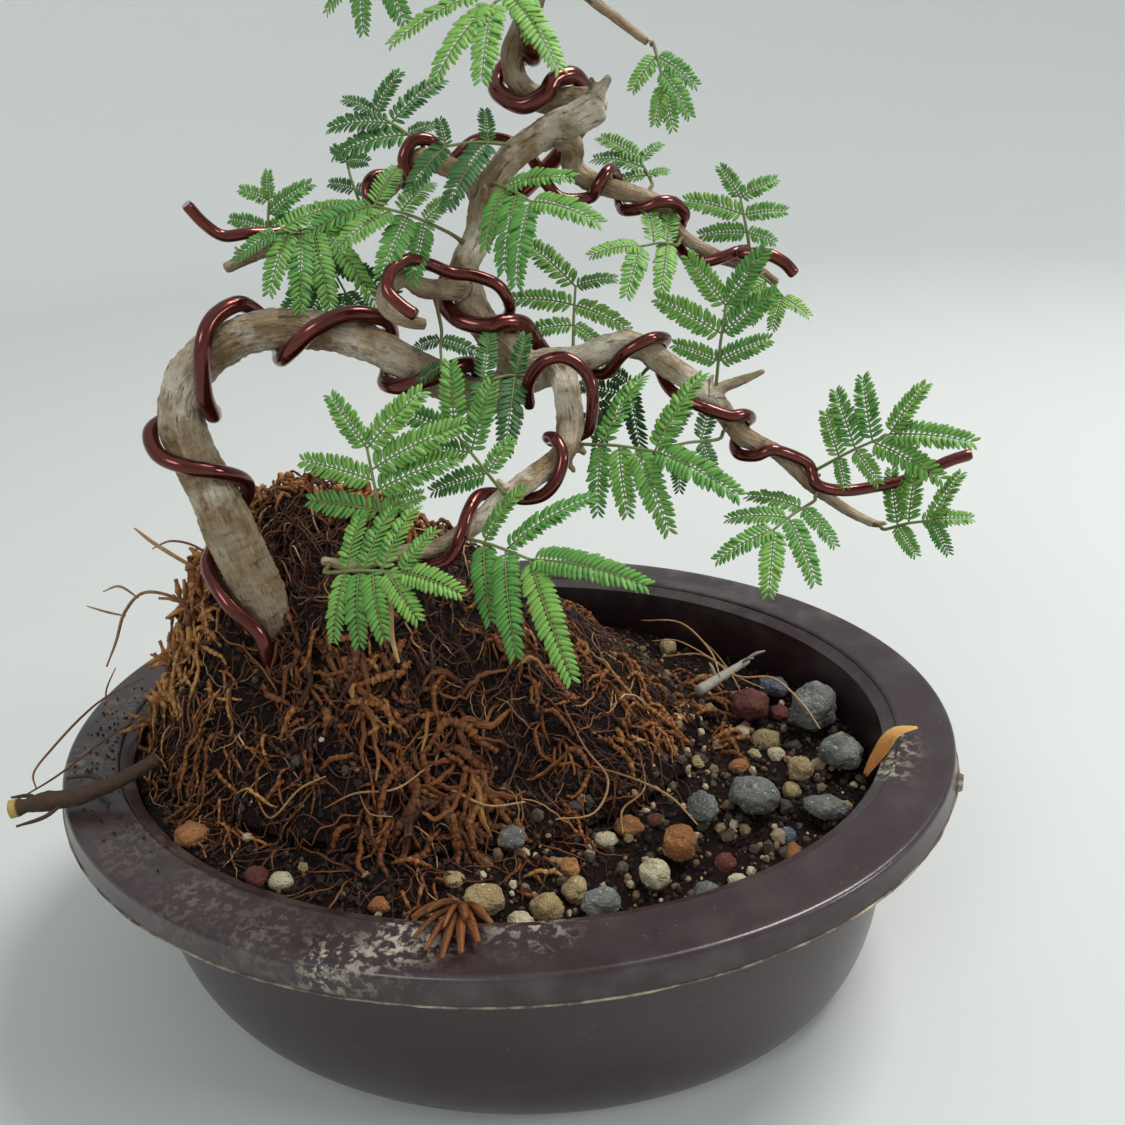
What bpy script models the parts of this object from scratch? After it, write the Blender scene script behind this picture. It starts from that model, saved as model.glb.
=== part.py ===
"""Bonsai tree in an oval plastic pot.

A small acacia-like tree with feathery leaves, trained with anodised aluminium wire. Its trunk leaves a
high mound of rooty peat at the pot's left, arches over to the right and climbs to the top of the pot's
middle. Every length is in millimetres and is turned into metres by MM where a mesh is made.

Frame: +Z up, origin at the middle of the pot's flat base, +X along the pot's long axis, and -Y is the side
that the lower front branch reaches towards.
"""

import math

import bmesh
import bpy
from mathutils import Vector, noise

MM = 0.001

# ---------------------------------------------------------------- driving dimensions, mm
GAP = 0.35  # clearance between pieces that touch

POT_LENGTH = 210.0  # over the rim's top edge
POT_WIDTH = 168.0
POT_HEIGHT = 64.0
RIM_WIDTH = 12.0
RIM_THICKNESS = 2.4
SKIRT_HEIGHT = 5.7
SKIRT_FLARE = 1.2
SKIRT_THICKNESS = 2.0
WALL = 2.6
FLOOR = 3.0
BASE_LENGTH = 130.0  # of the flat underside
BODY_ROUNDNESS = 4.5  # exponent of the body's side curve, 2 would be a quarter ellipse
DRAIN_RADIUS = 4.5
DRAIN_SPACING = 70.0
POT_SIDES = 44

SOIL_DROP_LEFT = 4.0  # how far the potting soil lies below the rim's top, at the left end and at the right
SOIL_DROP_RIGHT = 17.5
SOIL_DIPS = 0.5
MOUND_RISE = 49.0  # the root ball's top over the rim's top
MOUND_REACH = 0.86  # how far towards the pot's wall the root ball spreads
MOUND_CUTBACK = 0.2  # less than that on the gravelly side
MOUND_SPREAD = 0.09  # more than that on the full side
MOUND_FULLNESS = 2.2  # how much rounder its full side is than the straight slope of the rest
MOUND_PEAK_ROUNDING = 0.12
MOUND_LUMPS = 1.6
MOUND_EDGE = 1.6  # thickness of its thin outer edge
GRAVELLY_SIDE = -25.0  # bearing from the mound's peak, degrees
FULL_SIDE = 190.0
MOSS_GAP = 1.6  # the moss lies this far off the mound, whose surface is rougher
MOSS_EDGE = 0.9  # thickness of a clump's edge
STONE_LUMPS = 0.16

BARK_SIDES = 8
TWIG_SIDES = 6
THICK_WIRE = 1.75  # radius
THIN_WIRE = 1.25
THICK_WIRE_RINGS = 3.9  # spacing of the rings of its mesh
THIN_WIRE_RINGS = 2.9
WIRE_SIDES = 6
WIRE_CLEARANCE = 0.45

LEAF_THICKNESS = 0.5
RACHIS_WIDTH = 0.9
PINNA_WIDTH = 4.2  # at most, and less where the pinnae stand closer than this
PINNA_CROWDING = 0.75  # share of the room between two pinnae that their width takes up
PINNA_WIDEST = 0.4  # share of the pinna's length at which it is widest
PINNA_TIP = 0.35  # its tip's width as a share of its widest

FRONT = Vector((0.2, -0.95, 0.25)).normalized()  # the side from which the wire's turns are counted

# The tree and what lies on the soil are laid out for a pot with this inside, this high. In another pot the
# things on the soil keep their share of the way to the wall and the tree moves whole with its foot.
PLAN_INSIDE = (90.4, 69.4)
PLAN_HEIGHT = 64.0
PLAN_FOOT = (-50.5, -11.0)
PLAN_PEAK = (-44.0, 18.0)  # of the mound
INSIDE = tuple(across / 2 - RIM_WIDTH - WALL for across in (POT_LENGTH, POT_WIDTH))
SPREAD = tuple(inside / plan for inside, plan in zip(INSIDE, PLAN_INSIDE))
LIFT = POT_HEIGHT - PLAN_HEIGHT
TREE_SHIFT = Vector((PLAN_FOOT[0] * (SPREAD[0] - 1), PLAN_FOOT[1] * (SPREAD[1] - 1), LIFT))


def on_plot(x, y, z=0.0):
    """A place of the plan in this pot."""
    return x * SPREAD[0], y * SPREAD[1], z + LIFT

# ---------------------------------------------------------------- finishes: colour, roughness, metallic
POT_PLASTIC = ((0.060, 0.036, 0.042), 0.42, 0.0)
PEAT = ((0.020, 0.012, 0.009), 0.95, 0.0)
ROOTY_PEAT = ((0.045, 0.020, 0.010), 0.92, 0.0)
MOSS = ((0.340, 0.150, 0.040), 0.90, 0.0)
BARK = ((0.420, 0.310, 0.180), 0.75, 0.0)
WIRE = ((0.140, 0.022, 0.018), 0.25, 0.9)
LIGHT = ((0.130, 0.360, 0.075), 0.55, 0.0)
DARK = ((0.040, 0.150, 0.045), 0.55, 0.0)
DEAD_ROOT = ((0.060, 0.035, 0.020), 0.85, 0.0)
GREY_WOOD = ((0.300, 0.270, 0.230), 0.85, 0.0)
DRY_LEAF = ((0.450, 0.200, 0.060), 0.70, 0.0)


def finish(name, look):
    """The material of this name, made on first use."""
    material = bpy.data.materials.get(name)
    if material is None:
        material = bpy.data.materials.new(name)
        material.use_nodes = True
        colour, roughness, metallic = look
        shader = material.node_tree.nodes["Principled BSDF"]
        shader.inputs["Base Color"].default_value = (*colour, 1.0)
        shader.inputs["Roughness"].default_value = roughness
        shader.inputs["Metallic"].default_value = metallic
        material.diffuse_color = (*colour, 1.0)
    return material


def solid(name, points, faces, material, flat_angle=50.0):
    """An object from points in millimetres and faces, with its normals facing out."""
    shape = bmesh.new()
    corners = [shape.verts.new(Vector(p) * MM) for p in points]
    for face in faces:
        shape.faces.new([corners[i] for i in face])
    bmesh.ops.recalc_face_normals(shape, faces=shape.faces[:])
    mesh = bpy.data.meshes.new(name)
    shape.to_mesh(mesh)
    shape.free()
    mesh.shade_smooth()
    mesh.set_sharp_from_angle(angle=math.radians(flat_angle))
    mesh.materials.append(material)
    piece = bpy.data.objects.new(name, mesh)
    bpy.context.scene.collection.objects.link(piece)
    return piece


def hide_helper(helper):
    helper.hide_render = True
    helper.display_type = "WIRE"


def combine(piece, other, operation):
    """A Boolean on piece with a helper object that is left out of the model."""
    hide_helper(other)
    cut = piece.modifiers.new(f"{operation.lower()} {other.name}", "BOOLEAN")
    cut.operation = operation
    cut.solver = "EXACT"
    cut.object = other


# ---------------------------------------------------------------- lines, tubes and coils
def along(values, t):
    """Straight-line value of a list at the place t, counted in list steps."""
    t = min(max(t, 0.0), len(values) - 1.0)
    i = min(int(t), len(values) - 2)
    return values[i] + (values[i + 1] - values[i]) * (t - i)


def curve_at(route, t):
    """The point at t, counted in route points, on a smooth curve through the whole route."""
    last = len(route) - 1
    t = min(max(t, 0.0), float(last))
    i = min(int(t), last - 1)
    u = t - i
    b, c = Vector(route[i]), Vector(route[i + 1])
    a = Vector(route[i - 1]) if i > 0 else b + b - c
    d = Vector(route[i + 2]) if i + 2 <= last else c + c - b
    slope_b, slope_c = (c - a) / 2, (d - b) / 2
    return (
        b * (2 * u**3 - 3 * u**2 + 1)
        + slope_b * (u**3 - 2 * u**2 + u)
        + c * (3 * u**2 - 2 * u**3)
        + slope_c * (u**3 - u**2)
    )


def heading(route, t):
    step = 0.02
    return (curve_at(route, t + step) - curve_at(route, t - step)).normalized()


def tube(name, route, radii, sides, spacing, material, grow=0.0, span=None, shift=TREE_SHIFT):
    """A round-sided tube on the smooth curve through route, its radius following radii."""
    start, end = span or (0.0, len(route) - 1.0)
    length = sum((Vector(b) - Vector(a)).length for a, b in zip(route, route[1:]))
    steps = max(4, round(length * (end - start) / (len(route) - 1.0) / spacing))
    places = [start + (end - start) * i / steps for i in range(steps + 1)]
    across = heading(route, start).orthogonal().normalized()
    points = []
    for t in places:
        ahead = heading(route, t)
        across = (across - ahead * across.dot(ahead)).normalized()
        beside = ahead.cross(across)
        centre, radius = curve_at(route, t) + shift, along(radii, t) + grow
        for k in range(sides):
            turn = math.tau * k / sides
            points.append(centre + (across * math.cos(turn) + beside * math.sin(turn)) * radius)
    return solid(name, points, tube_faces(len(places), sides), material)


def tube_faces(rings, sides):
    faces = [list(range(sides)), list(range((rings - 1) * sides, rings * sides))]
    for ring in range(rings - 1):
        for k in range(sides):
            a, b = ring * sides + k, ring * sides + (k + 1) % sides
            faces.append([a, b, b + sides, a + sides])
    return faces


def wound(limb, marks, wire_radius):
    """Points of a wire wound round a limb. A mark is a place on the limb and the quarter turns made by then.

    Quarter turn 0 is on the front, 1 is on the limb's right where it grows upwards.
    """
    route, radii = limb
    turns = []
    for (t0, q0), (t1, q1) in zip(marks, marks[1:]):
        pieces = max(1, round(abs(q1 - q0) * 2))
        turns += [(t0 + (t1 - t0) * i / pieces, q0 + (q1 - q0) * i / pieces) for i in range(pieces)]
    turns.append(marks[-1])
    points = []
    for t, quarter in turns:
        ahead = heading(route, t)
        face = (FRONT - ahead * FRONT.dot(ahead)).normalized()
        side = ahead.cross(face)
        turn = quarter * math.pi / 2
        reach = along(radii, t) + wire_radius + WIRE_CLEARANCE
        points.append(curve_at(route, t) + (face * math.cos(turn) + side * math.sin(turn)) * reach)
    return points


# ---------------------------------------------------------------- pot
def oval(half_length, z, sides=POT_SIDES):
    """A ring of the pot at this height. Every ring keeps the same difference between length and width."""
    half_width = half_length - (POT_LENGTH - POT_WIDTH) / 2
    return [
        (half_length * math.cos(math.tau * k / sides), half_width * math.sin(math.tau * k / sides), z)
        for k in range(sides)
    ]


def body_half_length(z, inset=0.0):
    """Half the body's length at a height, on its rounded side."""
    base = BASE_LENGTH / 2
    top = POT_LENGTH / 2 - RIM_WIDTH - 0.4
    height = POT_HEIGHT - SKIRT_HEIGHT
    rise = min(max(1 - z / height, 0.0), 1.0)
    return base + (top - base) * (1 - rise**BODY_ROUNDNESS) ** (1 / BODY_ROUNDNESS) - inset


def make_pot():
    half = POT_LENGTH / 2
    under = POT_HEIGHT - RIM_THICKNESS
    skirt_foot = POT_HEIGHT - SKIRT_HEIGHT
    outside = [(body_half_length(z), z) for z in (0.0, 0.4, 1.6, 4.0, 8.0, 14.0, 24.0, 40.0)]
    rim = [
        (body_half_length(skirt_foot), under),
        (half - SKIRT_THICKNESS, under),
        (half + SKIRT_FLARE - SKIRT_THICKNESS, skirt_foot),
        (half + SKIRT_FLARE, skirt_foot),
        (half + 0.3, POT_HEIGHT - 1.4),
        (half - 0.5, POT_HEIGHT - 0.4),
        (half - 2.0, POT_HEIGHT),
        (half - RIM_WIDTH + 1.0, POT_HEIGHT),
        (half - RIM_WIDTH - 0.6, POT_HEIGHT - 0.8),
    ]
    inside = [(body_half_length(z, WALL), z) for z in (54.0, 40.0, 24.0, 14.0, 9.0, 5.0)]
    floor = [(body_half_length(FLOOR, WALL) - 2.0, FLOOR)]
    rings = [oval(r, z) for r, z in outside + rim + inside + floor]
    points = [p for ring in rings for p in ring]
    pot = solid("pot", points, tube_faces(len(rings), POT_SIDES), finish("pot_plastic", POT_PLASTIC), 35.0)
    for side in (-1, 1):
        top, bottom = FLOOR + 2, -2.0
        x = side * DRAIN_SPACING / 2
        drill = tube(
            f"drain_drill_{side}", [(x, 0, bottom), (x, 0, top)], [DRAIN_RADIUS] * 2, 16, 20.0,
            finish("helper", PEAT), shift=Vector(),
        )
        combine(pot, drill, "DIFFERENCE")


# ---------------------------------------------------------------- soil and mound
def soil_level(x, y):
    """Height of the potting soil: high at the left, low on the gravelly right."""
    slope_half = 0.61 * INSIDE[0]
    share = min(max((x + slope_half) / (2 * slope_half), 0.0), 1.0)
    share = share * share * (3 - 2 * share)
    dips = SOIL_DIPS * math.sin(0.11 * x + 1.0) * math.cos(0.13 * y)
    return POT_HEIGHT - SOIL_DROP_LEFT - (SOIL_DROP_RIGHT - SOIL_DROP_LEFT) * share + dips


MOUND_PEAK = on_plot(*PLAN_PEAK)[:2]


def wall_distance(direction):
    """From the mound's peak to the inside of the wall, in this direction."""
    (px, py), (dx, dy) = MOUND_PEAK, (math.cos(direction), math.sin(direction))
    a = (dx / INSIDE[0]) ** 2 + (dy / INSIDE[1]) ** 2
    b = 2 * (px * dx / INSIDE[0] ** 2 + py * dy / INSIDE[1] ** 2)
    c = (px / INSIDE[0]) ** 2 + (py / INSIDE[1]) ** 2 - 1
    return (-b + math.sqrt(b * b - 4 * a * c)) / (2 * a)


def towards(direction, bearing):
    """1 in the direction of the bearing, falling to 0 at right angles to it."""
    return max(0.0, math.cos(direction - math.radians(bearing))) ** 2


def mound_reach(direction):
    """The root ball's own radius in this direction."""
    share = MOUND_REACH - MOUND_CUTBACK * towards(direction, GRAVELLY_SIDE)
    return wall_distance(direction) * (share + MOUND_SPREAD * towards(direction, FULL_SIDE))


def mound_height(x, y):
    """Height of the root ball's top: a straight slope, but a round shoulder on its full side."""
    dx, dy = x - MOUND_PEAK[0], y - MOUND_PEAK[1]
    direction = math.atan2(dy, dx)
    out = math.hypot(dx, dy) / mound_reach(direction)
    out = math.hypot(out, MOUND_PEAK_ROUNDING) - MOUND_PEAK_ROUNDING * (1 - min(out, 1.0))
    share = max(0.0, 1 - out ** (1 + MOUND_FULLNESS * towards(direction, FULL_SIDE)))
    foot = soil_level(x, y) + MOUND_EDGE
    lumps = MOUND_LUMPS * share * math.sin(0.23 * x + 0.6) * math.sin(0.21 * y - 0.4)
    return foot + (POT_HEIGHT + MOUND_RISE - foot) * share + lumps


def layered(name, low, high, rings, sectors, place, material):
    """A closed solid between two height functions, over an area given by place(share, angle)."""
    angles = [math.tau * k / sectors for k in range(sectors)]
    centre = place(0.0, 0.0)
    points = [(*centre, high(*centre))]
    flat = [place(ring / rings, angle) for ring in range(1, rings + 1) for angle in angles]
    points += [(x, y, high(x, y)) for x, y in flat]
    start = len(points)
    points.append((*centre, low(*centre)))
    points += [(x, y, low(x, y)) for x, y in flat]
    faces = []
    for k in range(sectors):
        n = (k + 1) % sectors
        faces.append([0, 1 + k, 1 + n])
        faces.append([start, start + 1 + n, start + 1 + k])
        for ring in range(rings - 1):
            a, b = 1 + ring * sectors + k, 1 + ring * sectors + n
            c, d = b + sectors, a + sectors
            faces.append([a, d, c, b])
            faces.append([start + a, start + b, start + c, start + d])
        a, b = 1 + (rings - 1) * sectors + k, 1 + (rings - 1) * sectors + n
        faces.append([a, start + a, start + b, b])
    return solid(name, points, faces, material, 40.0)


def make_soil():
    """The potting soil, a lining of the pot's inside up to its own level."""
    angles = [math.tau * k / POT_SIDES for k in range(POT_SIDES)]
    top_edge = POT_HEIGHT - SOIL_DROP_RIGHT

    def within_wall(share, angle, z):
        half_length = (body_half_length(z, WALL) - GAP) * share
        difference = (POT_LENGTH - POT_WIDTH) / 2 * share
        return half_length * math.cos(angle), (half_length - difference) * math.sin(angle)

    points = []
    for share, z in [(0.80, FLOOR + GAP), (0.97, 8.0), (1.0, 14.0), (1.0, 24.0), (1.0, 34.0)]:
        points += [(*within_wall(share, angle, z), z) for angle in angles]
    for share in (0.995, 0.86, 0.68, 0.48, 0.26):
        flat = [within_wall(share, angle, top_edge) for angle in angles]
        points += [(x, y, soil_level(x, y)) for x, y in flat]
    solid("potting_soil", points, tube_faces(len(points) // POT_SIDES, POT_SIDES), finish("peat", PEAT), 40.0)


def make_root_ball(sockets):
    def place(share, angle):
        reach = mound_reach(angle) * share
        return MOUND_PEAK[0] + reach * math.cos(angle), MOUND_PEAK[1] + reach * math.sin(angle)

    def underside(x, y):
        return soil_level(x, y) + 2 * GAP

    ball = layered("root_ball", underside, mound_height, 7, 32, place, finish("rooty_peat", ROOTY_PEAT))
    for socket in sockets:
        combine(ball, socket, "DIFFERENCE")


# name, middle, half sizes, turn in degrees and thickness of each clump of moss on the mound
MOSS_CLUMPS = {
    "moss_crown": ((-38.0, 20.0), (24.0, 11.0), -8.0, 4.0),
    "moss_left": ((-72.0, 2.0), (12.0, 19.0), 28.0, 3.6),
    "moss_front": ((-24.0, -24.0), (16.0, 10.0), -15.0, 2.2),
    "moss_right": ((10.0, 6.0), (17.0, 15.0), 10.0, 3.0),
}


def make_moss(name, middle, half_sizes, turn, thickness, sockets):
    spin = math.radians(turn)
    cos, sin = math.cos(spin), math.sin(spin)

    def place(share, angle):
        wobble = 1 + 0.10 * math.sin(3 * angle + len(name))
        u = half_sizes[0] * share * wobble * math.cos(angle)
        v = half_sizes[1] * share * wobble * math.sin(angle)
        return on_plot(middle[0] + u * cos - v * sin, middle[1] + u * sin + v * cos)[:2]

    def share_of(x, y):
        dx, dy = x / SPREAD[0] - middle[0], y / SPREAD[1] - middle[1]
        u, v = dx * cos + dy * sin, dy * cos - dx * sin
        return min(1.0, math.hypot(u / half_sizes[0], v / half_sizes[1]))

    def low(x, y):
        return mound_height(x, y) + MOSS_GAP

    def high(x, y):
        return low(x, y) + MOSS_EDGE + thickness * (1 - share_of(x, y) ** 2)

    clump = layered(name, low, high, 6, 20, place, finish("moss", MOSS))
    for socket in sockets:
        combine(clump, socket, "DIFFERENCE")


# ---------------------------------------------------------------- stones
# name, place on the plan, half sizes, turn in degrees, colour
STONES = {
    "stone_tall_grey": ((76.5, 20.0), (6.6, 5.6, 7.6), 20.0, (0.30, 0.29, 0.25)),
    "stone_wall_grey": ((82.0, 5.0), (6.2, 5.0, 4.6), -15.0, (0.22, 0.22, 0.20)),
    "stone_red": ((60.5, 25.0), (5.4, 5.0, 4.6), 10.0, (0.24, 0.07, 0.04)),
    "stone_blue_grey": ((66.5, 36.0), (5.0, 3.4, 3.0), -25.0, (0.16, 0.17, 0.21)),
    "stone_tan": ((72.5, -1.5), (3.2, 3.6, 3.6), 30.0, (0.40, 0.32, 0.19)),
    "stone_broad_grey": ((62.0, -13.5), (6.6, 5.2, 4.6), -10.0, (0.27, 0.28, 0.24)),
    "stone_flat_grey": ((77.5, -14.0), (6.0, 3.6, 2.8), -12.0, (0.24, 0.26, 0.26)),
    "stone_small_grey": ((50.5, -17.0), (4.0, 4.0, 3.6), 35.0, (0.20, 0.21, 0.21)),
    "stone_orange": ((46.5, -31.0), (4.2, 4.6, 4.6), 5.0, (0.42, 0.20, 0.06)),
    "stone_cream": ((42.0, -40.5), (3.6, 3.6, 3.6), 40.0, (0.62, 0.56, 0.40)),
    "stone_front_grey": ((32.0, -50.0), (4.4, 3.4, 3.4), 15.0, (0.22, 0.23, 0.22)),
    "stone_yellow": ((10.0, -56.0), (4.8, 3.8, 3.4), -20.0, (0.50, 0.38, 0.16)),
}


def make_stone(name, place, half_sizes, turn, colour):
    """A lumpy pebble, lowered until it rests on the soil."""
    shape = bmesh.new()
    bmesh.ops.create_icosphere(shape, subdivisions=1, radius=1.0)
    spin, size = math.radians(turn), min(SPREAD)
    seed = Vector((place[0], place[1], len(name) * 3.0))
    middle = on_plot(*place)
    points = []
    for corner in shape.verts:
        swell = size * (1 + STONE_LUMPS * noise.noise(corner.co * 1.3 + seed))
        x, y, z = (corner.co[i] * half_sizes[i] * swell for i in range(3))
        across, back = x * math.cos(spin) - y * math.sin(spin), x * math.sin(spin) + y * math.cos(spin)
        points.append((middle[0] + across, middle[1] + back, z))
    faces = [[corner.index for corner in face.verts] for face in shape.faces]
    shape.free()
    lift = max(soil_level(x, y) - z for x, y, z in points) + GAP
    points = [(x, y, z + lift) for x, y, z in points]
    solid(name, points, faces, finish(name, (colour, 0.85, 0.0)), 30.0)


# ---------------------------------------------------------------- the tree's wood: points, then the radii
ARCH = (
    [
        (-51, -11, 82), (-50.5, -11, 94), (-53, -11.5, 108), (-57, -11, 124), (-60.5, -11, 138),
        (-58, -10.5, 147), (-52, -9.5, 153.5), (-42, -7, 157.5), (-30, -5.5, 157.5), (-18.5, -4, 154),
        (-8, -3.5, 148), (1.5, -3, 142.8), (8, -2.5, 142.5), (13, -1.5, 145),
    ],
    [6.2, 6.2, 5.9, 5.3, 5.0, 4.6, 4.3, 4.2, 4.0, 3.9, 3.8, 3.8, 4.0, 4.4],
)
LEADER = (
    [
        (13, -1.5, 143.5), (12, -1.5, 150), (7, -1.5, 155.5), (4, -1, 161), (3, -0.5, 167.5), (6, 1.5, 173.5),
        (8, 3.5, 181), (11.5, 5.5, 186), (16.5, 6.5, 189.5), (22, 7, 192.3), (27, 7, 193.8), (30.5, 8, 195.3),
    ],
    [4.4, 3.9, 3.4, 3.2, 3.1, 2.9, 2.7, 2.8, 2.9, 3.0, 3.1, 3.0],
)
CROWN = (
    [
        (30.5, 8.5, 195.5), (26, 11, 196.6), (20, 11.3, 196.8), (16, 10.5, 199), (14, 10, 202.5),
        (14, 9.5, 206), (16.5, 9, 210), (19.5, 8.5, 214.5), (21.5, 8, 220.5), (21.5, 7, 227),
        (20, 5.5, 233),
    ],
    [2.9, 2.6, 2.4, 2.3, 2.3, 2.2, 2.1, 2.0, 1.8, 1.5, 0.9],
)
UPPER_RIGHT = (
    [
        (22, 7.5, 191.5), (24, 13, 188.5), (23.5, 15.5, 184.5), (28, 15.5, 181), (38.5, 16.5, 177.5),
        (42, 17.5, 174.3), (45.5, 18, 169.5), (53.5, 18.5, 164.7), (60, 19, 162.5), (65, 19, 159.2),
    ],
    [2.6, 2.4, 2.3, 2.1, 1.8, 1.6, 1.5, 1.4, 1.2, 0.8],
)
UPPER_LEFT = (
    [
        (7.5, 3.5, 179.5), (4, 5, 184.3), (-2, 7.5, 187), (-6.5, 9, 188.2), (-10.5, 10, 186), (-15, 11, 183),
        (-19, 12, 180), (-25, 12.3, 177), (-32, 11.5, 174.3), (-38, 10, 173.2), (-45.5, 8.5, 171.2),
        (-52.5, 6, 168.8),
    ],
    [2.4, 2.2, 2.1, 2.1, 2.0, 2.0, 1.9, 1.8, 1.7, 1.6, 1.4, 1.3],
)
HOOK = (
    [
        (3, -1, 164), (-3, -8.5, 165.3), (-5.5, -12.5, 168), (-8.5, -15, 166.5), (-8.5, -16.5, 163.5),
        (-5.5, -16.7, 161), (-1, -17, 160),
    ],
    [2.3, 2.0, 1.8, 1.7, 1.6, 1.5, 1.2],
)
LONG_RIGHT = (
    [
        (13, -1, 146), (18, -1.3, 148.2), (25, -0.7, 148.7), (30.5, -0.5, 150.5), (34.5, 0, 151.5),
        (38.5, 0, 150.5), (42, 0.7, 147.5), (51, 0.8, 141), (55.5, 1.5, 135), (59, 1.5, 131),
        (65.5, 2, 127.5), (72, 3, 120.5), (80.5, 5, 113.5), (86, 6.3, 110),
    ],
    [3.6, 3.1, 2.9, 2.9, 2.8, 2.6, 2.5, 2.3, 2.2, 2.0, 1.7, 1.4, 1.2, 1.0],
)
SIDE_STUB = ([(51, 1, 140.8), (57.5, 0.3, 143.3), (62.5, -0.8, 145.6)], [1.5, 1.1, 0.6])
LOW_FRONT = (
    [
        (14, -1, 145.5), (20, -5, 147.3), (23.3, -8.5, 146.8), (24.8, -12, 143), (25.4, -15, 138.5),
        (24.4, -19.3, 134.8), (20.3, -24.3, 132.5), (15.5, -28.5, 130), (11.5, -31.3, 127),
        (7.5, -34.2, 124.5), (3, -37, 122.5), (-3, -40.5, 123), (-11, -43.3, 121.7), (-17, -44.6, 123),
    ],
    [3.6, 3.1, 2.9, 2.7, 2.5, 2.4, 2.3, 2.2, 2.1, 1.9, 1.8, 1.5, 1.2, 0.9],
)
TOP_RIGHT = (
    [(21, 8, 220), (26, 7.7, 217.5), (30, 7.6, 213.5), (34, 7.4, 210.4), (40.4, 6.7, 205.5)],
    [1.5, 1.2, 1.1, 1.0, 0.8],
)
TOP_LEFT = ([(21.5, 7.5, 223), (13, 7.5, 228), (4, 6.5, 229), (-4, 5, 227)], [1.3, 1.1, 0.9, 0.7])
LIMBS = {
    "leader": LEADER,
    "crown": CROWN,
    "upper_right": UPPER_RIGHT,
    "upper_left": UPPER_LEFT,
    "hook": HOOK,
    "long_right": LONG_RIGHT,
    "side_stub": SIDE_STUB,
    "low_front": LOW_FRONT,
    "top_right": TOP_RIGHT,
    "top_left": TOP_LEFT,
}


def make_tree():
    """The trunk with every branch grown from it, as one solid."""
    bark = finish("bark", BARK)
    tree = tube("trunk_and_branches", *ARCH, BARK_SIDES, 5.5, bark)
    for name, (route, radii) in LIMBS.items():
        sides = BARK_SIDES if max(radii) > 2.5 else TWIG_SIDES
        combine(tree, tube(f"limb_{name}", route, radii, sides, 4.5, bark), "UNION")


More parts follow.
